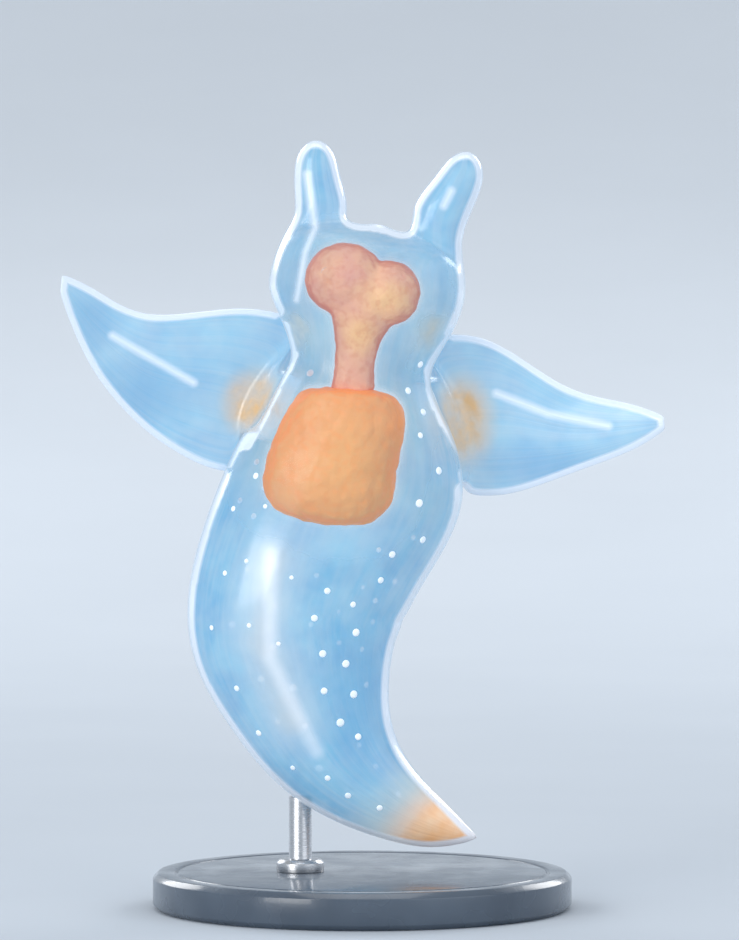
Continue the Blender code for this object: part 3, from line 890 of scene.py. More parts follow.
    def clear_over(self, organs: list[bpy.types.Object]) -> None:
        """Marks where the skin lies over the organs, fading further out on the back than on the belly.

        Args:
            organs: The organs that show.
        """
        graph = bpy.context.evaluated_depsgraph_get()
        trees = [BVHTree.FromObject(organ, graph) for organ in organs]
        bm = bmesh.new()
        bm.from_mesh(self.piece.data)
        window = bm.verts.layers.float.new("window")
        wing = bm.verts.layers.float["wing"]
        for vertex in bm.verts:
            if vertex[wing] > 0 or vertex.co.z < self.window_floor * MM + FLOAT_HEIGHT:
                continue
            reach = (self.back_fade if vertex.normal.y < 0 else self.belly_fade) * MM
            spot = Vector((vertex.co.x, self.organ_plane * MM, vertex.co.z))
            for tree in trees:
                over = any(tree.ray_cast(vertex.co, Vector((0, way, 0)))[0] is not None for way in (1, -1))
                value = 1.0 if over else 1.0 - tree.find_nearest(spot)[3] / reach
                vertex[window] = max(vertex[window], value)
        for _ in range(self.window_softness):
            soft = {}
            for vertex in bm.verts:
                near = [edge.other_vert(vertex)[window] for edge in vertex.link_edges]
                soft[vertex] = (vertex[window] + sum(near) / len(near)) / 2
            for vertex, value in soft.items():
                vertex[window] = value
        bm.to_mesh(self.piece.data)
        bm.free()


@dataclass
class Organs:
    """The hook sacs of the mouth with the gullet, and the digestive gland."""

    segments: int = 20
    voxel: float = 0.16 * MM
    melt_rounds: int = 30
    tissue: tuple[float, float] = (1.6, 0.3)
    lobes: tuple[float, float] = (1.5, -0.22)
    swellings: tuple[float, float] = (2.8, 0.4)
    sacs: tuple[Station, ...] = (
        Station(-1.9, 0.0, 62.0, 4.4, 3.6),
        Station(2.9, 0.0, 60.5, 3.5, 3.3),
    )
    sac_heights: tuple[float, ...] = (4.0, 3.6)
    funnel: tuple[Station, ...] = (
        Station(0.2, 0.0, 63.4, 3.0, 2.6),
        Station(0.4, 0.0, 61.0, 4.6, 3.2),
        Station(0.1, 0.0, 58.3, 3.9, 2.9),
        Station(-0.4, 0.0, 56.5, 2.7, 2.3),
        Station(-0.7, 0.1, 54.0, 2.25, 1.9),
        Station(-0.9, 0.2, 52.0, 2.15, 1.9),
        Station(-1.0, 0.3, 50.4, 2.4, 2.1),
        Station(-1.0, 0.4, 49.4, 2.5, 2.1),
    )
    gland: tuple[Station, ...] = (
        Station(-1.0, 0.4, 50.2, 4.7, 3.9),
        Station(-1.0, 0.5, 48.0, 6.5, 5.0),
        Station(-2.7, 0.6, 43.7, 6.8, 5.4),
        Station(-3.7, 0.6, 40.0, 7.4, 5.5),
        Station(-4.1, 0.6, 37.2, 6.9, 5.0),
        Station(-4.4, 0.6, 35.1, 4.4, 3.4),
    )

    def tube(self, name: str, stations: tuple[Station, ...], levels: int) -> bpy.types.Object:
        """Lofts a closed organ through its stations.

        Args:
            name: The piece's name.
            stations: The stations.
            levels: The levels of subdivision.

        Returns:
            The piece.
        """
        rings = rings_of(stations, self.segments)
        clay = Clay(name, self.segments)
        clay.loft(rings)
        bpy.ops.mesh.edge_face_add()
        clay.pick_row(0)
        bpy.ops.mesh.edge_face_add()
        return clay.finish(levels)

    def sac(self, station: Station, height: float) -> bpy.types.Object:
        """One round hook sac, a sphere scaled to its half sizes.

        Args:
            station: Its middle and half sizes.
            height: Its half height, in millimetres.

        Returns:
            The piece.
        """
        deselect_all()
        middle = place(station.x, station.y, station.z)
        bpy.ops.mesh.primitive_uv_sphere_add(segments=32, ring_count=20, radius=MM, location=middle)
        piece = bpy.context.object
        bpy.ops.object.mode_set(mode="EDIT")
        sizes = (station.half_width, station.half_depth, height)
        bpy.ops.transform.resize(value=sizes, center_override=middle)
        bpy.ops.object.mode_set(mode="OBJECT")
        bpy.ops.object.transform_apply(location=True, rotation=True, scale=True)
        return piece

    def lumps(self, piece: bpy.types.Object, kind: str, relief: tuple[float, float]) -> None:
        """Works a lumpy relief into an organ's surface.

        Args:
            piece: The organ.
            kind: The type of the relief's pattern.
            relief: The size of the lumps and their height, in millimetres.
        """
        size, height = relief
        pattern = bpy.data.textures.new(f"{piece.name}_{kind.lower()}", kind)
        pattern.noise_scale = size * MM
        settings = {"texture": pattern, "strength": height * MM, "mid_level": 0.5}
        apply_modifier(piece, "DISPLACE", texture_coords="LOCAL", **settings)

    def build_buccal_mass(self) -> bpy.types.Object:
        """Melts the two sacs, their funnel and the gullet into one soft body.

        Returns:
            The piece.
        """
        parts = [self.sac(s, h) for s, h in zip(self.sacs, self.sac_heights)]
        parts.append(self.tube("funnel", self.funnel, 2))
        piece = join_pieces("buccal_sacs", parts)
        apply_modifier(piece, "REMESH", mode="VOXEL", voxel_size=self.voxel)
        apply_modifier(piece, "SMOOTH", factor=0.5, iterations=self.melt_rounds)
        self.lumps(piece, "CLOUDS", self.tissue)
        bpy.ops.object.shade_smooth()
        return piece

    def build_gland(self) -> bpy.types.Object:
        """The digestive gland, with its small rounded lobes.

        Returns:
            The piece.
        """
        piece = self.tube("gland_body", self.gland, 4)
        self.lumps(piece, "VORONOI", self.lobes)
        self.lumps(piece, "CLOUDS", self.swellings)
        return piece


@dataclass(frozen=True)
class DotRow:
    """A row of dots: where it lies across the body at its top and its end, and its spacing."""

    top_share: float
    end_share: float
    top_z: float
    end_z: float
    spacing: float
    zigzag: float = 0.03
    size: float = 1.0


@dataclass
class GlandDots:
    """The pearly dots of oil in rows along the trunk, on the back and on the belly."""

    skin: Skin
    seed: int = 11
    radius: float = 0.41 * MM
    flatness: float = 0.3
    jitter: float = 0.02
    sizes: tuple[float, float] = (0.8, 1.12)
    stretches: tuple[float, float] = (0.85, 1.15)
    widest: float = 0.97
    search: float = 3.0 * MM
    tolerance: float = 1.0 * MM
    rows: tuple[DotRow, ...] = (
        DotRow(0.74, 0.70, 53.4, 33.2, 2.5, 0.07),
        DotRow(0.22, 0.22, 29.2, 12.0, 4.2, 0.03),
        DotRow(0.58, 0.46, 32.6, 9.6, 4.6, 0.05),
        DotRow(-0.77, -0.66, 37.0, 11.0, 4.3, 0.03, 0.85),
        DotRow(-0.58, -0.38, 34.6, 20.5, 4.5, 0.04, 0.7),
        DotRow(-0.13, -0.12, 29.4, 22.0, 5.8, 0.02, 0.7),
        DotRow(-0.36, -0.22, 9.2, 4.6, 2.2, 0.03, 0.9),
    )

    def middle_at(self, z: float) -> tuple[int, float]:
        """The ring above a height in millimetres, and how far the height lies to the next one."""
        height = place(0, 0, z).z
        rings = self.skin.rings
        for i in range(len(rings) - 2):
            high, low = rings[i].middle.z, rings[i + 1].middle.z
            if high >= height > low:
                return i, (high - height) / (high - low)
        return len(rings) - 3, 1.0

    def spots(self) -> list[tuple[Vector, Vector, float]]:
        """Chooses the dots' places along the rows.

        Returns:
            Each dot's place, outward way and size.
        """
        dice = random.Random(self.seed)
        tree = self.skin.surface()
        found = []
        for belly in (-1, 1):
            for line in self.rows:
                z, odd = line.top_z, 1
                while z > line.end_z:
                    share = (line.top_z - z) / (line.top_z - line.end_z)
                    across = line.top_share + (line.end_share - line.top_share) * share
                    across += line.zigzag * odd + dice.uniform(-self.jitter, self.jitter)
                    i, part = self.middle_at(z)
                    high, low = self.skin.rings[i], self.skin.rings[i + 1]
                    turn = belly * math.acos(max(-self.widest, min(self.widest, -belly * across)))
                    aim = high.point(turn).lerp(low.point(turn), part)
                    way = (aim - high.middle.lerp(low.middle, part)).normalized()
                    hit, normal, _, _ = tree.ray_cast(aim + way * self.search, -way)
                    if hit is not None and (hit - aim).length < self.tolerance:
                        found.append((hit, normal, line.size * dice.uniform(*self.sizes)))
                    z -= line.spacing * dice.uniform(*self.stretches)
                    odd = -odd
        return found

    def build(self) -> bpy.types.Object:
        """Models one flat lens, sets a copy of it on every spot and joins the copies.

        Returns:
            The piece.
        """
        deselect_all()
        bpy.ops.mesh.primitive_uv_sphere_add(segments=12, ring_count=6, radius=self.radius)
        lens = bpy.context.object
        bpy.ops.object.mode_set(mode="EDIT")
        bpy.ops.transform.resize(value=(1, 1, self.flatness), center_override=(0, 0, 0))
        bpy.ops.object.mode_set(mode="OBJECT")
        bpy.ops.object.shade_smooth()
        copies = []
        for at, way, size in self.spots():
            deselect_all()
            lens.select_set(True)
            bpy.context.view_layer.objects.active = lens
            bpy.ops.object.duplicate(linked=False)
            copy = bpy.context.object
            copy.location = at
            copy.rotation_euler = way.to_track_quat("Z", "Y").to_euler()
            copy.scale = (size, size, size)
            bpy.ops.object.transform_apply(location=True, rotation=True, scale=True)
            copies.append(copy)
        bpy.data.objects.remove(lens)
        return join_pieces("gland_dots", copies)


@dataclass
class Stand:
    """The round base and the steel rod that carries the trunk."""

    base_radius: float = 23.0
    base_height: float = 4.0
    chamfer: float = 0.6
    edge_bevel: float = 0.08
    sharp_angle: float = 35.0
    groove_radius: float = 20.4
    groove_half_width: float = 0.3
    groove_depth: float = 0.2
    rod_x: float = -6.8
    rod_radius: float = 1.25
    collar_radius: float = 2.6
    collar_height: float = 1.4
    collar_chamfer: float = 0.4
    bedding: float = 0.35
    steps: int = 96

    def turned(self, name: str, axis_x: float, profile: list[tuple[float, float]]) -> bpy.types.Object:
        """Spins a profile about an upright axis.

        Args:
            name: The piece's name.
            axis_x: Where the axis stands, in millimetres.
            profile: The radius and height of each corner, in millimetres.

        Returns:
            The piece.
        """
        axis = Vector((axis_x * MM, 0, 0))
        deselect_all()
        bpy.ops.mesh.primitive_plane_add(size=MM)
        piece = bpy.context.object
        piece.name = name
        piece.data.name = name
        bpy.ops.object.mode_set(mode="EDIT")
        bpy.ops.mesh.select_mode(type="VERT")
        bpy.ops.mesh.select_all(action="SELECT")
        bpy.ops.mesh.merge(type="CENTER")
        bpy.ops.transform.translate(value=axis + Vector((profile[0][0], 0, profile[0][1])) * MM)
        for (near, low), (far, high) in zip(profile, profile[1:]):
            step = {"value": Vector((far - near, 0, high - low)) * MM}
            bpy.ops.mesh.extrude_region_move(TRANSFORM_OT_translate=step)
        bpy.ops.mesh.select_all(action="SELECT")
        bpy.ops.mesh.spin(steps=self.steps, angle=2 * math.pi, center=axis, axis=(0, 0, 1))
        bpy.ops.mesh.select_all(action="SELECT")
        bpy.ops.mesh.remove_doubles(threshold=1e-6)
        bpy.ops.mesh.normals_make_consistent(inside=False)
        bpy.ops.object.mode_set(mode="OBJECT")
        apply_modifier(piece, "BEVEL", width=self.edge_bevel * MM, segments=2, limit_method="ANGLE")
        bpy.ops.object.shade_smooth_by_angle(angle=math.radians(self.sharp_angle))
        return piece

    def build_base(self) -> bpy.types.Object:
        """The base, with chamfered edges and a fine groove round its top.

        Returns:
            The piece.
        """
        wide, high, cut = self.base_radius, self.base_height, self.chamfer
        outer, inner = (self.groove_radius + side * self.groove_half_width for side in (1, -1))
        deep = self.groove_depth
        profile = [(0.0, 0.0), (wide - cut, 0.0), (wide, cut), (wide, high - cut), (wide - cut, high)]
        profile += [(outer, high), (outer - deep, high - deep), (inner + deep, high - deep)]
        profile += [(inner, high), (0.0, high)]
        return self.turned("acrylic_base", 0.0, profile)

    def build_rod(self, surface: BVHTree) -> bpy.types.Object:
        """The rod with its collar, bedded into the trunk's underside.

        Args:
            surface: The skin, which tells where the rod ends.

        Returns:
            The piece.
        """
        start = Vector((self.rod_x, 0, self.base_height)) * MM
        hit, _, _, _ = surface.ray_cast(start, Vector((0, 0, 1)))
        top = hit.z / MM + self.bedding
        foot, collar = self.base_height, self.base_height + self.collar_height
        wide, cut = self.collar_radius, self.collar_chamfer
        profile = [(0.0, foot), (wide, foot), (wide, collar - cut), (wide - cut, collar)]
        profile += [(self.rod_radius, collar), (self.rod_radius, top), (0.0, top)]
        return self.turned("steel_rod", self.rod_x, profile)


class Bench:
    """Builds the node tree of a material or of a group."""

    def __init__(self, tree: bpy.types.NodeTree) -> None:
        """Keeps the tree to work on."""
        self.tree = tree

    def add(
        self,
        kind: str,
        inputs: dict[str | int, object] | None = None,
        **settings: object,
    ) -> bpy.types.Node:
        """Adds a node.

        Args:
            kind: The node's type.
            inputs: What each of its inputs gets: a plain value, or a socket to link.
            settings: The node's own settings.

        Returns:
            The node.
        """
        node = self.tree.nodes.new(kind)
        for name, value in settings.items():
            setattr(node, name, value)
        for name, value in (inputs or {}).items():
            if isinstance(value, bpy.types.NodeSocket):
                self.tree.links.new(value, node.inputs[name])
            else:
                node.inputs[name].default_value = value
        return node

    def mix(self, share: object, first: object, second: object) -> bpy.types.NodeSocket:
        """Mixes two colours.

        Args:
            share: The second colour's share.
            first: The first colour.
            second: The second colour.

        Returns:
            The mixed colour.
        """
        node = self.add("ShaderNodeMix", data_type="RGBA")
        for name, kind, value in (("Factor", "VALUE", share), ("A", "RGBA", first), ("B", "RGBA", second)):
            socket = next(s for s in node.inputs if s.name == name and s.type == kind)
            if isinstance(value, bpy.types.NodeSocket):
                self.tree.links.new(value, socket)
            else:
                socket.default_value = value if kind == "VALUE" else (*value, 1)
        return next(s for s in node.outputs if s.type == "RGBA")

    def math(self, operation: str, first: object, second: object = 0.0) -> bpy.types.NodeSocket:
        """Puts two values through a Math node.

        Args:
            operation: The node's operation.
            first: The first value.
            second: The second value.

        Returns:
            The result.
        """
        node = self.add("ShaderNodeMath", {0: first, 1: second}, operation=operation)
        return node.outputs[0]

    def noise(self, at: object, scale: object, roughness: object) -> bpy.types.NodeSocket:
        """Clouds of noise, from 0 to 1, at a scale that tells how many there are to a metre."""
        inputs = {"Vector": at, "Scale": scale, "Detail": NOISE_DETAIL, "Roughness": roughness}
        return self.add("ShaderNodeTexNoise", inputs).outputs[0]

    def vector(self, operation: str, first: object, second: object) -> bpy.types.Node:
        """Puts two vectors through a Vector Math node.

        Args:
            operation: The node's operation.
            first: The first vector.
            second: The second vector.

        Returns:
            The node.
        """
        return self.add("ShaderNodeVectorMath", {0: first, 1: second}, operation=operation)

    def between(self, share: object, low: object, high: object) -> bpy.types.NodeSocket:
        """Goes from one value to another with a share from 0 to 1."""
        inputs = {"Value": share, "To Min": low, "To Max": high}
        return self.add("ShaderNodeMapRange", inputs).outputs["Result"]

    def spread(
        self,
        value: object,
        low: object,
        high: float,
        to_low: float,
        to_high: float,
    ) -> bpy.types.NodeSocket:
        """Maps a value smoothly from one range to another.

        Args:
            value: The value.
            low: The start of its range.
            high: The end of its range.
            to_low: What the start becomes.
            to_high: What the end becomes.

        Returns:
            The mapped value.
        """
        inputs = {"Value": value, "From Min": low, "From Max": high, "To Min": to_low, "To Max": to_high}
        return self.add("ShaderNodeMapRange", inputs, interpolation_type="SMOOTHSTEP").outputs["Result"]


def new_group(
    name: str,
    inputs: dict[str, str],
    outputs: dict[str, str],
) -> tuple[bpy.types.NodeTree, Bench]:
    """Starts a shader node group.

    Args:
        name: The group's name.
        inputs: The type of each input by name.
        outputs: The type of each output by name.

    Returns:
        The group and a bench to build it on.
    """
    group = bpy.data.node_groups.new(name, "ShaderNodeTree")
    for in_out, sockets in (("INPUT", inputs), ("OUTPUT", outputs)):
        for label, kind in sockets.items():
            group.interface.new_socket(label, in_out=in_out, socket_type=kind)
    return group, Bench(group)


class Effects:
    """The node groups that several materials share."""

    def __init__(self) -> None:
        """Builds each group once."""
        self.spot = self.make_spot()
        self.streak = self.make_streak()
        self.wash = self.make_wash()
        self.grain = self.make_grain()

    @staticmethod
    def make_spot() -> bpy.types.NodeTree:
        """A soft egg-shaped mask round a place."""
        vector, value = "NodeSocketVector", "NodeSocketFloat"
        inputs = {"Vector": vector, "Place": vector, "Reach": vector, "Softness": value}
        group, bench = new_group("soft_spot", inputs, {"Mask": value})
        given = bench.add("NodeGroupInput")
        away = bench.vector("SUBTRACT", given.outputs[0], given.outputs[1]).outputs[0]
        shares = bench.vector("DIVIDE", away, given.outputs[2]).outputs[0]
        far = bench.add("ShaderNodeVectorMath", {0: shares}, operation="LENGTH").outputs["Value"]
        start = bench.math("SUBTRACT", 1.0, given.outputs[3])
        bench.add("NodeGroupOutput", {0: bench.spread(far, start, 1.0, 1.0, 0.0)})
        return group

    @staticmethod
    def make_streak() -> bpy.types.NodeTree:
        """A soft stroke between two places, seen from the front."""
        vector, value = "NodeSocketVector", "NodeSocketFloat"
        inputs = {"Vector": vector, "Start": vector, "End": vector, "Width": value}
        group, bench = new_group("soft_streak", inputs, {"Mask": value})
        given = bench.add("NodeGroupInput")
        points = [bench.vector("MULTIPLY", given.outputs[k], (1, 0, 1)).outputs[0] for k in range(3)]
        run = bench.vector("SUBTRACT", points[2], points[1]).outputs[0]
        away = bench.vector("SUBTRACT", points[0], points[1]).outputs[0]
        along = bench.vector("DOT_PRODUCT", away, run).outputs["Value"]
        whole = bench.vector("DOT_PRODUCT", run, run).outputs["Value"]
        share = bench.add("ShaderNodeMath", {0: along, 1: whole}, operation="DIVIDE", use_clamp=True)
        nearest = bench.add("ShaderNodeVectorMath", {0: run, "Scale": share.outputs[0]}, operation="SCALE")
        far = bench.vector("DISTANCE", away, nearest.outputs[0]).outputs["Value"]
        part = bench.math("DIVIDE", far, given.outputs[3])
        bench.add("NodeGroupOutput", {0: bench.spread(part, 0.0, 1.0, 1.0, 0.0)})
        return group

    @staticmethod
    def make_wash() -> bpy.types.NodeTree:
        """Uneven clouds of tint, as in living tissue."""
        vector, value = "NodeSocketVector", "NodeSocketFloat"
        inputs = {"Vector": vector, "Size": value, "Contrast": value}
        group, bench = new_group("cloudy_wash", inputs, {"Mask": value})
        given = bench.add("NodeGroupInput")
        scale = bench.math("DIVIDE", 1.0, given.outputs[1])
        noise = bench.noise(given.outputs[0], scale, 0.55)
        centred = bench.math("SUBTRACT", noise, 0.5)
        wider = bench.math("MULTIPLY", centred, given.outputs[2])
        mask = bench.add("ShaderNodeMath", {0: wider, 1: 0.5}, operation="ADD", use_clamp=True)
        bench.add("NodeGroupOutput", {0: mask.outputs[0]})
        return group

    @staticmethod
    def make_grain() -> bpy.types.NodeTree:
        """A fine uneven relief, with its height and a mask of its hollows."""
        vector, value = "NodeSocketVector", "NodeSocketFloat"
        inputs = {"Vector": vector, "Size": value, "Roughness": value}
        group, bench = new_group("fine_grain", inputs, {"Height": value, "Hollows": value})
        given = bench.add("NodeGroupInput")
        scale = bench.math("DIVIDE", 1.0, given.outputs[1])
        noise = bench.noise(given.outputs[0], scale, given.outputs[2])
        hollows = bench.spread(noise, 0.35, 0.55, 1.0, 0.0)
        bench.add("NodeGroupOutput", {0: noise, 1: hollows})
        return group


class Finish:
    """What the finishes share: a material with one Principled shader and Object coordinates."""

    name: str = "finish"

    def start(self, effects: Effects, **plain: object) -> None:
        """Starts the material.

        Args:
            effects: The shared node groups.
            plain: Values for the shader's own sockets.
        """
        self.effects = effects
        self.material = bpy.data.materials.new(self.name)
        self.material.use_nodes = True
        self.bench = Bench(self.material.node_tree)
        self.shader = self.material.node_tree.nodes["Principled BSDF"]
        for label, value in plain.items():
            self.shader.inputs[label.replace("_", " ")].default_value = value
        self.where = self.bench.add("ShaderNodeTexCoord").outputs["Object"]

    def feed(self, label: str, source: bpy.types.NodeSocket) -> None:
        """Links a socket to one of the shader's inputs."""
        self.bench.tree.links.new(source, self.shader.inputs[label])

    def spot(
        self,
        middle: Vector,
        reach: tuple[float, float, float],
        softness: float,
    ) -> bpy.types.NodeSocket:
        """A soft mask round a place.

        Args:
            middle: The mask's middle.
            reach: Its half sizes, in millimetres.
            softness: How wide its border is, from 0 to 1.

        Returns:
            The mask.
        """
        half_sizes = [half * MM for half in reach]
        inputs = {"Vector": self.where, "Place": middle, "Reach": half_sizes, "Softness": softness}
        return self.group(self.effects.spot, inputs).outputs["Mask"]

    def streak(self, points: list[Vector], width: float) -> bpy.types.NodeSocket:
        """A soft stroke through places.

        Args:
            points: The places that it runs through.
            width: Its half width, in millimetres.

        Returns:
            The mask.
        """
        masks = []
        for start, end in zip(points, points[1:]):
            inputs = {"Vector": self.where, "Start": start, "End": end, "Width": width * MM}
            masks.append(self.group(self.effects.streak, inputs).outputs["Mask"])
        return self.most(masks)

    def most(self, masks: list[bpy.types.NodeSocket]) -> bpy.types.NodeSocket:
        """The strongest of several masks at each place."""
        found = masks[0]
        for mask in masks[1:]:
            found = self.bench.math("MAXIMUM", found, mask)
        return found

    def wash(self, size: float, contrast: float) -> bpy.types.NodeSocket:
        """An uneven mask with clouds of a size in millimetres."""
        inputs = {"Vector": self.where, "Size": size * MM, "Contrast": contrast}
        return self.group(self.effects.wash, inputs).outputs["Mask"]

    def grain(self, size: float, roughness: float = 0.5) -> bpy.types.Node:
        """A fine relief with grains of a size in millimetres."""
        inputs = {"Vector": self.where, "Size": size * MM, "Roughness": roughness}
        return self.group(self.effects.grain, inputs)

    def group(self, tree: bpy.types.NodeTree, inputs: dict[str, object]) -> bpy.types.Node:
        """Places a shared node group with its own values."""
        node = self.bench.add("ShaderNodeGroup", node_tree=tree)
        for label, value in inputs.items():
            if isinstance(value, bpy.types.NodeSocket):
                self.bench.tree.links.new(value, node.inputs[label])
            else:
                node.inputs[label].default_value = value
        return node

    def relief(self, height: bpy.types.NodeSocket, depth: float, strength: float = 1.0) -> None:
        """Bumps the surface by a height of a depth in millimetres."""
        inputs = {"Height": height, "Distance": depth * MM, "Strength": strength}
        self.feed("Normal", self.bench.add("ShaderNodeBump", inputs).outputs["Normal"])


@dataclass
class FleshFinish(Finish):
    """Clear sky-blue jelly with painted shade on its flanks, a painted rim highlight, painted highlight
    streaks and a painted glow, tan wing roots and an orange tail.
    """

    name: str = "clear_flesh"
    light_blue: Colour = (0.14, 0.47, 0.66)
    deep_blue: Colour = (0.02, 0.28, 0.54)
    thin_blue: Colour = (0.25, 0.57, 0.77)
    # Pale tints the fibres and washes, and also paints the broad highlight band.
    pale: Colour = (0.53, 0.60, 0.65)
    # The white of the painted highlight streaks.
    white: Colour = (0.86, 0.90, 0.95)
    # The painted white of the rim highlight.
    rim_highlight_white: Colour = (0.74, 0.79, 0.87)
    tan: Colour = (0.68, 0.42, 0.18)
    beige: Colour = (0.50, 0.52, 0.47)
    orange: Colour = (0.88, 0.42, 0.15)
    peach: Colour = (0.88, 0.60, 0.38)
    # Painted glow colours: on the inner faces and along the rim highlight; glow_cut leaves a quarter of the
    # colour as glow elsewhere.
    inner_glow: Colour = (0.40, 0.54, 0.64)
    edge_glow: Colour = (0.26, 0.29, 0.33)
    glow_cut: float = 0.75
    back_alpha: float = 0.62
    belly_alpha: float = 0.9
    wing_alpha: float = 0.6
    window_alpha: float = 0.12
    solid_alpha: float = 0.93
    fibre_length: tuple[float, float] = (0.16, 2.4)
    fibres_across: float = 9.0
    flank_share: float = 0.3

    def attribute(self, name: str) -> bpy.types.NodeSocket:
        """A value that the skin's points carry."""
        return self.bench.add("ShaderNodeAttribute", attribute_name=name).outputs["Fac"]

    def build(self, effects: Effects) -> bpy.types.Material:
        """Makes the material.

        Args:
            effects: The shared node groups.

        Returns:
            The material.
        """
        self.start(
            effects,
            IOR=1.4,
            Coat_Roughness=0.12,
            Sheen_Weight=1.0,
            Sheen_Roughness=0.25,
            Sheen_Tint=(0.92, 0.96, 1.0, 1.0),
            Emission_Strength=0.6,
        )
        bench = self.bench
        axes = bench.add("ShaderNodeSeparateXYZ", {0: self.where})
        self.belly = bench.spread(axes.outputs["Y"], 0.5 * MM, 4.0 * MM, 0.0, 1.0)
        self.side = self.attribute("side")
        self.wing = self.attribute("wing")
        self.tail = self.spot(place(10.8, -2.4, 1.0), (10.6, 8.0, 7.4), 0.5)
        inside = bench.add("ShaderNodeNewGeometry").outputs["Backfacing"]
        # Painted white rim highlight along the outline seen from the back, weaker on the flanks and none on
        # the inner faces.
        line = bench.spread(self.attribute("outline"), 0.32, 0.60, 0.0, 0.92)
        line = bench.math("MULTIPLY", line, bench.spread(self.side, 0.66, 0.98, 1.0, self.flank_share))
        self.line = bench.math("MULTIPLY", line, bench.between(inside, 1.0, 0.0))
        self.fibres = self.strokes()
        colour = self.colours()
        self.feed("Base Color", colour)
        # Painted glow: a quarter of the colour on the outer faces, a bluer glow on the inner faces, and a
        # white glow along the rim highlight.
        glow = bench.mix(self.glow_cut, colour, (0.0, 0.0, 0.0))
        glow = bench.mix(inside, glow, self.inner_glow)
        self.feed("Emission Color", bench.mix(self.line, glow, self.edge_glow))
        self.feed("Alpha", self.clearness())
        self.feed("Coat Weight", bench.between(inside, 1.0, 0.0))
        self.feed("Roughness", bench.between(inside, 0.26, 0.75))
        grain = self.grain(3.0, 0.35).outputs["Height"]
        height = bench.math("ADD", grain, bench.math("MULTIPLY", self.fibres, 0.25))
        self.relief(height, 0.22, 0.4)
        return self.material

    def strokes(self) -> bpy.types.NodeSocket:
        """Muscle fibres, which run down the body and out along the wings and horns."""
        bench = self.bench
        unbent = bench.add("ShaderNodeAttribute", attribute_name="unbent").outputs["Vector"]
        length = bench.between(self.wing, self.fibre_length[0], self.fibre_length[1])
        scale = bench.add("ShaderNodeCombineXYZ", {0: 1.0, 1: 1.0, 2: length}).outputs[0]
        at = bench.vector("MULTIPLY", unbent, scale).outputs[0]
        return bench.spread(bench.noise(at, self.fibres_across, 0.6), 0.34, 0.66, 0.0, 1.0)

    def colours(self) -> bpy.types.NodeSocket:
        """Washes and markings on the body's blue, with painted shade on its flanks, painted highlights, and
        its painted white rim highlight.
        """
        bench = self.bench
        colour = bench.mix(self.wash(5.0, 3.0), self.light_blue, self.deep_blue)
        colour = bench.mix(bench.between(self.wing, 0.0, 0.4), colour, self.thin_blue)
        # Painted shade: the more the skin turns sideways, the deeper its blue, as thicker jelly at the
        # flanks looks.
        deeper = bench.math("MULTIPLY", bench.spread(self.side, 0.08, 0.55, 0.0, 1.0), 0.6)
        colour = bench.mix(deeper, colour, self.deep_blue)
        colour = bench.mix(bench.math("MULTIPLY", self.fibres, 0.22), colour, self.pale)
        colour = bench.mix(bench.math("MULTIPLY", self.wash(3.0, 2.0), 0.3), colour, self.pale)
        back = bench.math("SUBTRACT", 1.0, self.belly)
        # Painted highlight: a broad soft pale band down the trunk's left, on the back only.
        highlight_band_path = [place(-9.8, 0, 31.5), place(-10.8, 0, 22.5), place(-7.6, 0, 14.0)]
        highlight_band = bench.math("MULTIPLY", self.streak(highlight_band_path, 5.6), back)
        self.highlight_band = bench.math("MULTIPLY", highlight_band, bench.between(self.wash(4.0, 1.6), 0.8, 1.0))
        colour = bench.mix(self.highlight_band, colour, self.pale)
        roots = self.most(
            [
                self.spot(place(-11.4, 5.5, 48.2), (5.2, 7.0, 5.0), 0.6),
                self.spot(place(10.8, 5.5, 46.2), (4.8, 7.0, 6.6), 0.6),
            ]
        )
        uneven = bench.between(self.wash(2.2, 2.6), 0.6, 1.0)
        self.roots = bench.math("MULTIPLY", bench.math("MULTIPLY", roots, uneven), self.wing)
        colour = bench.mix(self.roots, colour, self.tan)
        smudges = [(place(-7.5, -5.0, 56.3), (3.6, 9.0, 4.2)), (place(7.9, -5.0, 56.0), (4.2, 9.0, 4.4))]
        smudge = self.most([self.spot(middle, reach, 0.9) for middle, reach in smudges])
        self.smudges = bench.math("MULTIPLY", smudge, uneven)
        colour = bench.mix(self.smudges, colour, self.beige)
        depths = self.most(
            [
                self.spot(place(0.0, -8.0, 17.0), (7.0, 16.0, 15.0), 0.9),
                self.spot(place(-24.0, 3.0, 49.5), (9.5, 9.0, 5.5), 0.9),
                self.spot(place(-30.0, 3.0, 58.0), (5.0, 9.0, 6.0), 0.9),
                self.spot(place(20.0, 3.0, 41.5), (12.0, 9.0, 3.6), 0.9),
            ]
        )
        colour = bench.mix(bench.math("MULTIPLY", depths, 0.6), colour, self.deep_blue)
        fringe = self.spot(place(9.0, -2.4, 2.4), (12.6, 9.0, 8.6), 0.5)
        self.fringe = bench.math("MULTIPLY", fringe, 0.7)
        colour = bench.mix(self.fringe, colour, self.beige)
        colour = bench.mix(self.tail, colour, bench.mix(self.wash(3.0, 2.4), self.orange, self.peach))
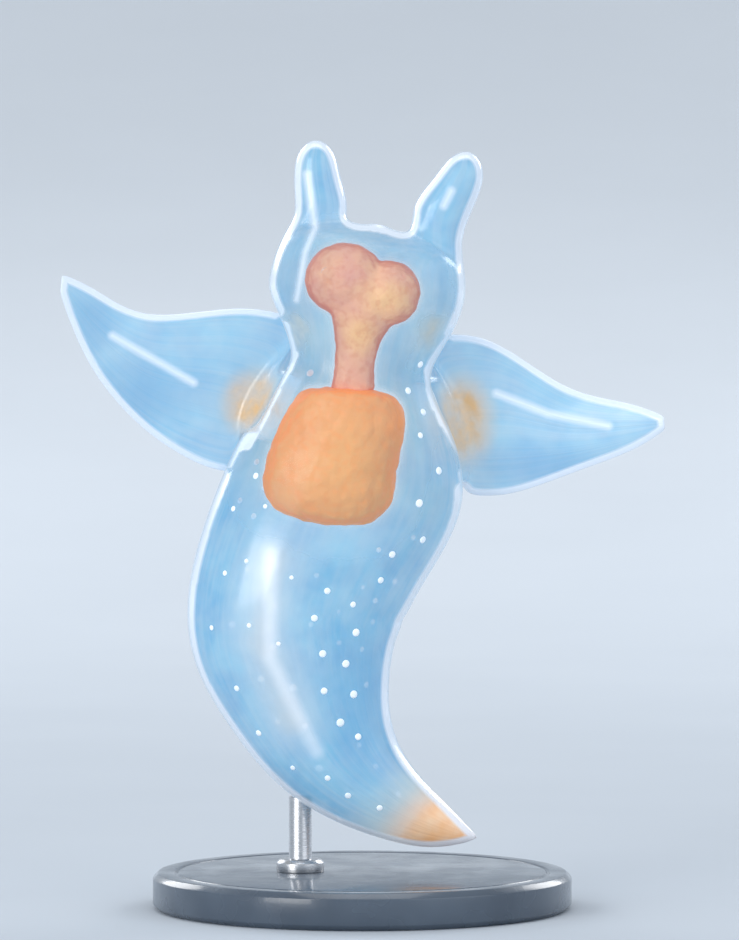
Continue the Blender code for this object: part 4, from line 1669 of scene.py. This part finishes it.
        # Painted highlights: soft white streaks down the trunk's left, on the left horn and head, on the
        # right horn and along both wings; those on the body only on the back.
        trunk = self.streak([place(-9.9, 0, 32.4), place(-9.9, 0, 21.0), place(-5.0, 0, 10.8)], 1.4)
        head = [place(-6.0, 0, 73.4), place(-5.1, 0, 67.6), place(-6.2, 0, 64.9), place(-7.1, 0, 59.8)]
        body = self.most(
            [
                bench.math("MULTIPLY", trunk, 0.8),
                self.streak(head, 0.85),
                self.streak([place(9.7, 0, 71.6), place(8.9, 0, 70.0)], 0.8),
            ]
        )
        wings = self.most(
            [
                self.streak([place(-27.4, 0, 55.8), place(-18.6, 0, 50.6)], 0.8),
                self.streak([place(14.8, 0, 49.4), place(20.4, 0, 47.2), place(27.0, 0, 45.9)], 0.8),
            ]
        )
        painted_highlights = bench.math("MAXIMUM", bench.math("MULTIPLY", body, back), wings)
        self.painted_highlights = bench.math("MULTIPLY", painted_highlights, 0.75)
        colour = bench.mix(self.painted_highlights, colour, self.white)
        # The painted white rim highlight goes over everything.
        return bench.mix(self.line, colour, self.rim_highlight_white)

    def clearness(self) -> bpy.types.NodeSocket:
        """Clear over the organs, milkier on the belly, and almost solid at the tail, the marks, the painted
        highlights and the painted rim highlight.
        """
        bench = self.bench
        alpha = bench.between(self.belly, self.back_alpha, self.belly_alpha)
        alpha = bench.between(self.wing, alpha, self.wing_alpha)
        alpha = bench.between(self.attribute("window"), alpha, self.window_alpha)
        # The marks made almost solid include the painted rim highlight, the painted highlight streaks and
        # the painted highlight band.
        marks = [self.tail, self.line, self.painted_highlights, self.smudges, self.roots, self.highlight_band, self.fringe]
        dense = self.most(marks)
        return bench.math("MAXIMUM", alpha, bench.math("MULTIPLY", dense, self.solid_alpha))


@dataclass
class OrganFinish(Finish):
    """Orange tissue, yellower in its middle, browner towards its rim and in its hollows, with a faint
    painted glow in its own colour.
    """

    name: str = "organ"
    colour: Colour = (0.88, 0.38, 0.12)
    light: Colour = (0.95, 0.52, 0.18)
    dark: Colour = (0.60, 0.17, 0.05)
    glow: float = 0.25
    light_places: tuple[tuple[Vector, tuple[float, float, float]], ...] = ()
    dark_places: tuple[tuple[Vector, tuple[float, float, float]], ...] = ()

    def build(self, effects: Effects) -> bpy.types.Material:
        """Makes the material.

        Args:
            effects: The shared node groups.

        Returns:
            The material.
        """
        self.start(effects, Roughness=0.5, Coat_Weight=0.1, Coat_Roughness=0.3, Emission_Strength=self.glow)
        bench = self.bench
        colour = bench.mix(bench.math("MULTIPLY", self.wash(2.8, 2.0), 0.5), self.colour, self.light)
        middles = self.most([self.spot(at, reach, 0.9) for at, reach in self.light_places])
        colour = bench.mix(bench.math("MULTIPLY", middles, 0.85), colour, self.light)
        deeper = [self.spot(at, reach, 0.9) for at, reach in self.dark_places]
        side = bench.add("ShaderNodeAttribute", attribute_name="side").outputs["Fac"]
        deeper.append(bench.spread(side, 0.25, 0.65, 0.0, 1.0))
        colour = bench.mix(bench.math("MULTIPLY", self.most(deeper), 0.9), colour, self.dark)
        grain = self.grain(0.7, 0.55)
        colour = bench.mix(bench.math("MULTIPLY", grain.outputs["Hollows"], 0.22), colour, self.dark)
        self.feed("Base Color", colour)
        # Painted glow: the tissue glows faintly in its own colour.
        self.feed("Emission Color", colour)
        self.relief(grain.outputs["Height"], 0.18, 0.5)
        return self.material


@dataclass
class PearlFinish(Finish):
    """White oil drops with a soft pearly gloss and a painted glow that lightens their shaded sides."""

    name: str = "pearl"
    white: Colour = (0.90, 0.93, 0.96)
    cool: Colour = (0.70, 0.82, 0.94)

    def build(self, effects: Effects) -> bpy.types.Material:
        """Makes the material."""
        self.start(effects, Roughness=0.4, Coat_Weight=0.3, Coat_Roughness=0.15, Emission_Strength=0.25)
        colour = self.bench.mix(self.wash(1.5, 2.0), self.white, self.cool)
        self.feed("Base Color", colour)
        # Painted glow in the drops' own colour, lightening their shade.
        self.feed("Emission Color", colour)
        self.relief(self.grain(0.2).outputs["Height"], 0.03, 0.5)
        return self.material


@dataclass
class AcrylicFinish(Finish):
    """Dark slate acrylic, polished, with faint haze and wiping marks."""

    name: str = "slate_acrylic"
    slate: Colour = (0.045, 0.065, 0.095)
    haze: Colour = (0.09, 0.12, 0.16)

    def build(self, effects: Effects) -> bpy.types.Material:
        """Makes the material."""
        self.start(effects, Coat_Weight=0.4, Coat_Roughness=0.08)
        self.feed("Base Color", self.bench.mix(self.wash(9.0, 1.8), self.slate, self.haze))
        self.feed("Roughness", self.bench.spread(self.wash(5.0, 2.0), 0.0, 1.0, 0.16, 0.34))
        self.relief(self.grain(0.25, 0.6).outputs["Height"], 0.015, 0.5)
        return self.material


@dataclass
class SteelFinish(Finish):
    """Steel with fine marks round the rod."""

    name: str = "brushed_steel"
    bright: Colour = (0.62, 0.63, 0.65)
    dull: Colour = (0.50, 0.51, 0.53)
    marks_to_a_metre: float = 14000.0

    def build(self, effects: Effects) -> bpy.types.Material:
        """Makes the material."""
        self.start(effects, Metallic=1.0)
        bench = self.bench
        stretched = bench.add("ShaderNodeMapping", {"Vector": self.where, "Scale": (0.05, 0.05, 1.0)})
        marks = bench.noise(stretched.outputs[0], self.marks_to_a_metre, 0.6)
        self.feed("Base Color", bench.mix(marks, self.bright, self.dull))
        self.feed("Roughness", bench.spread(marks, 0.3, 0.7, 0.2, 0.42))
        self.relief(marks, 0.006, 0.4)
        return self.material


@dataclass
class FloorFinish(Finish):
    """The plain pale floor's soft matt paint."""

    name: str = "pale_floor"
    pale: Colour = (0.50, 0.55, 0.61)
    paler: Colour = (0.53, 0.58, 0.64)
    lit: Colour = (0.90, 0.95, 1.0)
    dark_radius: float = 0.1
    lit_radius: float = 0.8

    def build(self, effects: Effects) -> bpy.types.Material:
        """Makes the material."""
        self.start(effects, Roughness=0.85, Emission_Strength=0.27)
        bench = self.bench
        self.feed("Base Color", bench.mix(self.wash(60.0, 1.5), self.pale, self.paler))
        away = bench.add("ShaderNodeVectorMath", {0: self.where}, operation="LENGTH").outputs["Value"]
        outside = bench.spread(away, self.dark_radius, self.lit_radius, 0.0, 1.0)
        self.feed("Emission Color", bench.mix(outside, BLACK, self.lit))
        return self.material


@dataclass
class Studio:
    """The floor that curves up behind, the soft lights and the camera."""

    distance: float = 0.62
    elevation: float = 2.0
    aim_x: float = 0.8 * MM
    aim_z: float = 48.1 * MM
    view_height: float = 103.0 * MM
    flat_radius: float = 0.3
    wall_radius: float = 1.6
    curve_height: float = 0.5
    wall_height: float = 1.5
    curve_steps: int = 16
    floor_sides: int = 96

    def profile(self) -> list[tuple[float, float]]:
        """The radius and height of the backdrop's rings, from its top down to the flat floor."""
        rings = [(self.wall_radius, self.wall_height)]
        for step in range(self.curve_steps, -1, -1):
            share = step / self.curve_steps
            wide = self.flat_radius + (self.wall_radius - self.flat_radius) * share
            rings.append((wide, self.curve_height * share * share))
        return rings + [(self.flat_radius / 10, 0.0)]

    def build_floor(self) -> bpy.types.Object:
        """Extrudes a backdrop that comes down on all sides and runs out into a flat floor.

        Returns:
            The floor.
        """
        deselect_all()
        rings = self.profile()
        wide, high = rings[0]
        bpy.ops.mesh.primitive_circle_add(vertices=self.floor_sides, radius=wide, location=(0, 0, high))
        floor = bpy.context.object
        floor.name = "backdrop"
        bpy.ops.object.mode_set(mode="EDIT")
        bpy.ops.mesh.select_mode(type="VERT")
        bpy.ops.mesh.select_all(action="SELECT")
        for (near, top), (far, low) in zip(rings, rings[1:]):
            bpy.ops.mesh.extrude_region_move(TRANSFORM_OT_translate={"value": (0, 0, low - top)})
            bpy.ops.transform.resize(value=(far / near, far / near, 1), center_override=(0, 0, low))
        bpy.ops.mesh.merge(type="CENTER")
        bpy.ops.mesh.select_all(action="SELECT")
        bpy.ops.mesh.normals_make_consistent(inside=True)
        bpy.ops.object.mode_set(mode="OBJECT")
        bpy.ops.object.transform_apply(location=True, rotation=True, scale=True)
        bpy.ops.object.shade_smooth()
        return floor

    def add_light(
        self,
        name: str,
        at: Vector,
        size: tuple[float, float],
        power: float,
        tint: Colour,
    ) -> None:
        """Adds a soft box that shines on the animal.

        Args:
            name: The light's name.
            at: Where it stands.
            size: Its width and height.
            power: Its power in watts.
            tint: Its colour.
        """
        deselect_all()
        aim = Vector((self.aim_x, 0, self.aim_z))
        turn = (aim - at).to_track_quat("-Z", "Y").to_euler()
        bpy.ops.object.light_add(type="AREA", location=at, rotation=turn)
        light = bpy.context.object
        light.name = name
        light.data.shape = "RECTANGLE"
        light.data.size, light.data.size_y = size
        light.data.energy = power
        light.data.color = tint

    def build(self) -> None:
        """Sets up the world, the lights and the camera."""
        world = bpy.data.worlds.new("studio")
        world.use_nodes = True
        world.node_tree.nodes["Background"].inputs["Color"].default_value = (0.94, 0.97, 1.0, 1)
        world.node_tree.nodes["Background"].inputs["Strength"].default_value = 0.5
        bpy.context.scene.world = world
        bpy.context.scene.view_settings.view_transform = "Standard"
        self.add_light("key", Vector((-0.34, -0.40, 0.16)), (0.26, 0.34), 1.4, (1.0, 0.99, 0.97))
        self.add_light("fill", Vector((0.62, -0.50, 0.30)), (0.80, 0.70), 1.4, (0.97, 0.98, 1.0))
        self.add_light("top", Vector((0.0, -0.05, 0.60)), (0.40, 0.40), 0.9, (1.0, 1.0, 1.0))
        self.add_light("left_rim", Vector((-0.42, 0.50, 0.34)), (0.30, 0.30), 1.3, (1.0, 1.0, 1.0))
        self.add_light("right_rim", Vector((0.42, 0.50, 0.34)), (0.30, 0.30), 1.3, (1.0, 1.0, 1.0))
        deselect_all()
        tilt = math.radians(self.elevation)
        aim = Vector((self.aim_x, 0, self.aim_z))
        at = aim + Vector((0, -math.cos(tilt), math.sin(tilt))) * self.distance
        bpy.ops.object.camera_add(location=at, rotation=(aim - at).to_track_quat("-Z", "Y").to_euler())
        camera = bpy.context.object
        camera.data.sensor_fit = "VERTICAL"
        camera.data.sensor_height = 24.0
        camera.data.lens = 24.0 * self.distance / self.view_height
        camera.data.clip_start = 0.01
        camera.data.clip_end = 10.0
        bpy.context.scene.camera = camera


def mark_sides(piece: bpy.types.Object) -> None:
    """Stores how far each point of a piece faces sideways, from 0 on its back and belly to 1."""
    sides = piece.data.attributes.new("side", "FLOAT", "POINT")
    for vertex in piece.data.vertices:
        sides.data[vertex.index].value = 1.0 - abs(vertex.normal.y)


def wear(piece: bpy.types.Object, material: bpy.types.Material) -> None:
    """Gives a piece its only material."""
    piece.data.materials.clear()
    piece.data.materials.append(material)


def main() -> None:
    """Builds the animal, dresses the stand and sets up the studio."""
    logging.basicConfig(level=logging.INFO, format="%(message)s")
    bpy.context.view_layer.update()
    effects = Effects()
    Studio().build()
    wear(Studio().build_floor(), FloorFinish().build(effects))

    skin = Skin()
    skin.build()
    flesh = [name for name in frame["nodes"] if not name.startswith("stand_")]
    organs = ("buccal_mass", "gullet", "digestive_gland")
    hand_over(skin.piece, Slot.FLESH, *(name for name in flesh if name not in organs))

    inner = Organs()
    sacs = inner.build_buccal_mass()
    gland = inner.build_gland()
    skin.clear_over([sacs, gland])
    skin.mark_outline()
    for piece in (skin.piece, sacs, gland):
        mark_sides(piece)
    wear(skin.piece, FleshFinish().build(effects))
    salmon = OrganFinish(
        name="hook_sacs",
        colour=(0.72, 0.31, 0.22),
        light=(0.86, 0.49, 0.20),
        dark=(0.62, 0.14, 0.05),
        light_places=(
            (place(2.3, -2.4, 59.8), (4.2, 6.0, 3.6)),
            (place(-0.3, -2.0, 56.0), (3.0, 6.0, 3.4)),
        ),
    )
    wear(sacs, salmon.build(effects))
    hand_over(sacs, Slot.SACS, "buccal_mass", "gullet")
    orange = OrganFinish(
        name="gland",
        colour=(0.78, 0.29, 0.07),
        light=(0.84, 0.38, 0.10),
        dark=(0.95, 0.25, 0.01),
        glow=0.24,
        light_places=((place(-2.0, -3.0, 42.0), (6.6, 9.0, 7.6)),),
        dark_places=((place(5.2, -1.0, 46.4), (3.4, 9.0, 5.4)),),
    )
    wear(gland, orange.build(effects))
    hand_over(gland, Slot.GUT, "digestive_gland")

    dots = GlandDots(skin).build()
    wear(dots, PearlFinish().build(effects))
    hand_over(dots, Slot.FLESH)

    stand = Stand()
    base = stand.build_base()
    wear(base, AcrylicFinish().build(effects))
    hand_over(base, Slot.BASE, "stand_base")
    rod = stand.build_rod(skin.surface())
    wear(rod, SteelFinish().build(effects))
    hand_over(rod, Slot.ROD, "stand_rod")

    deselect_all()


if __name__ == "__main__":
    main()
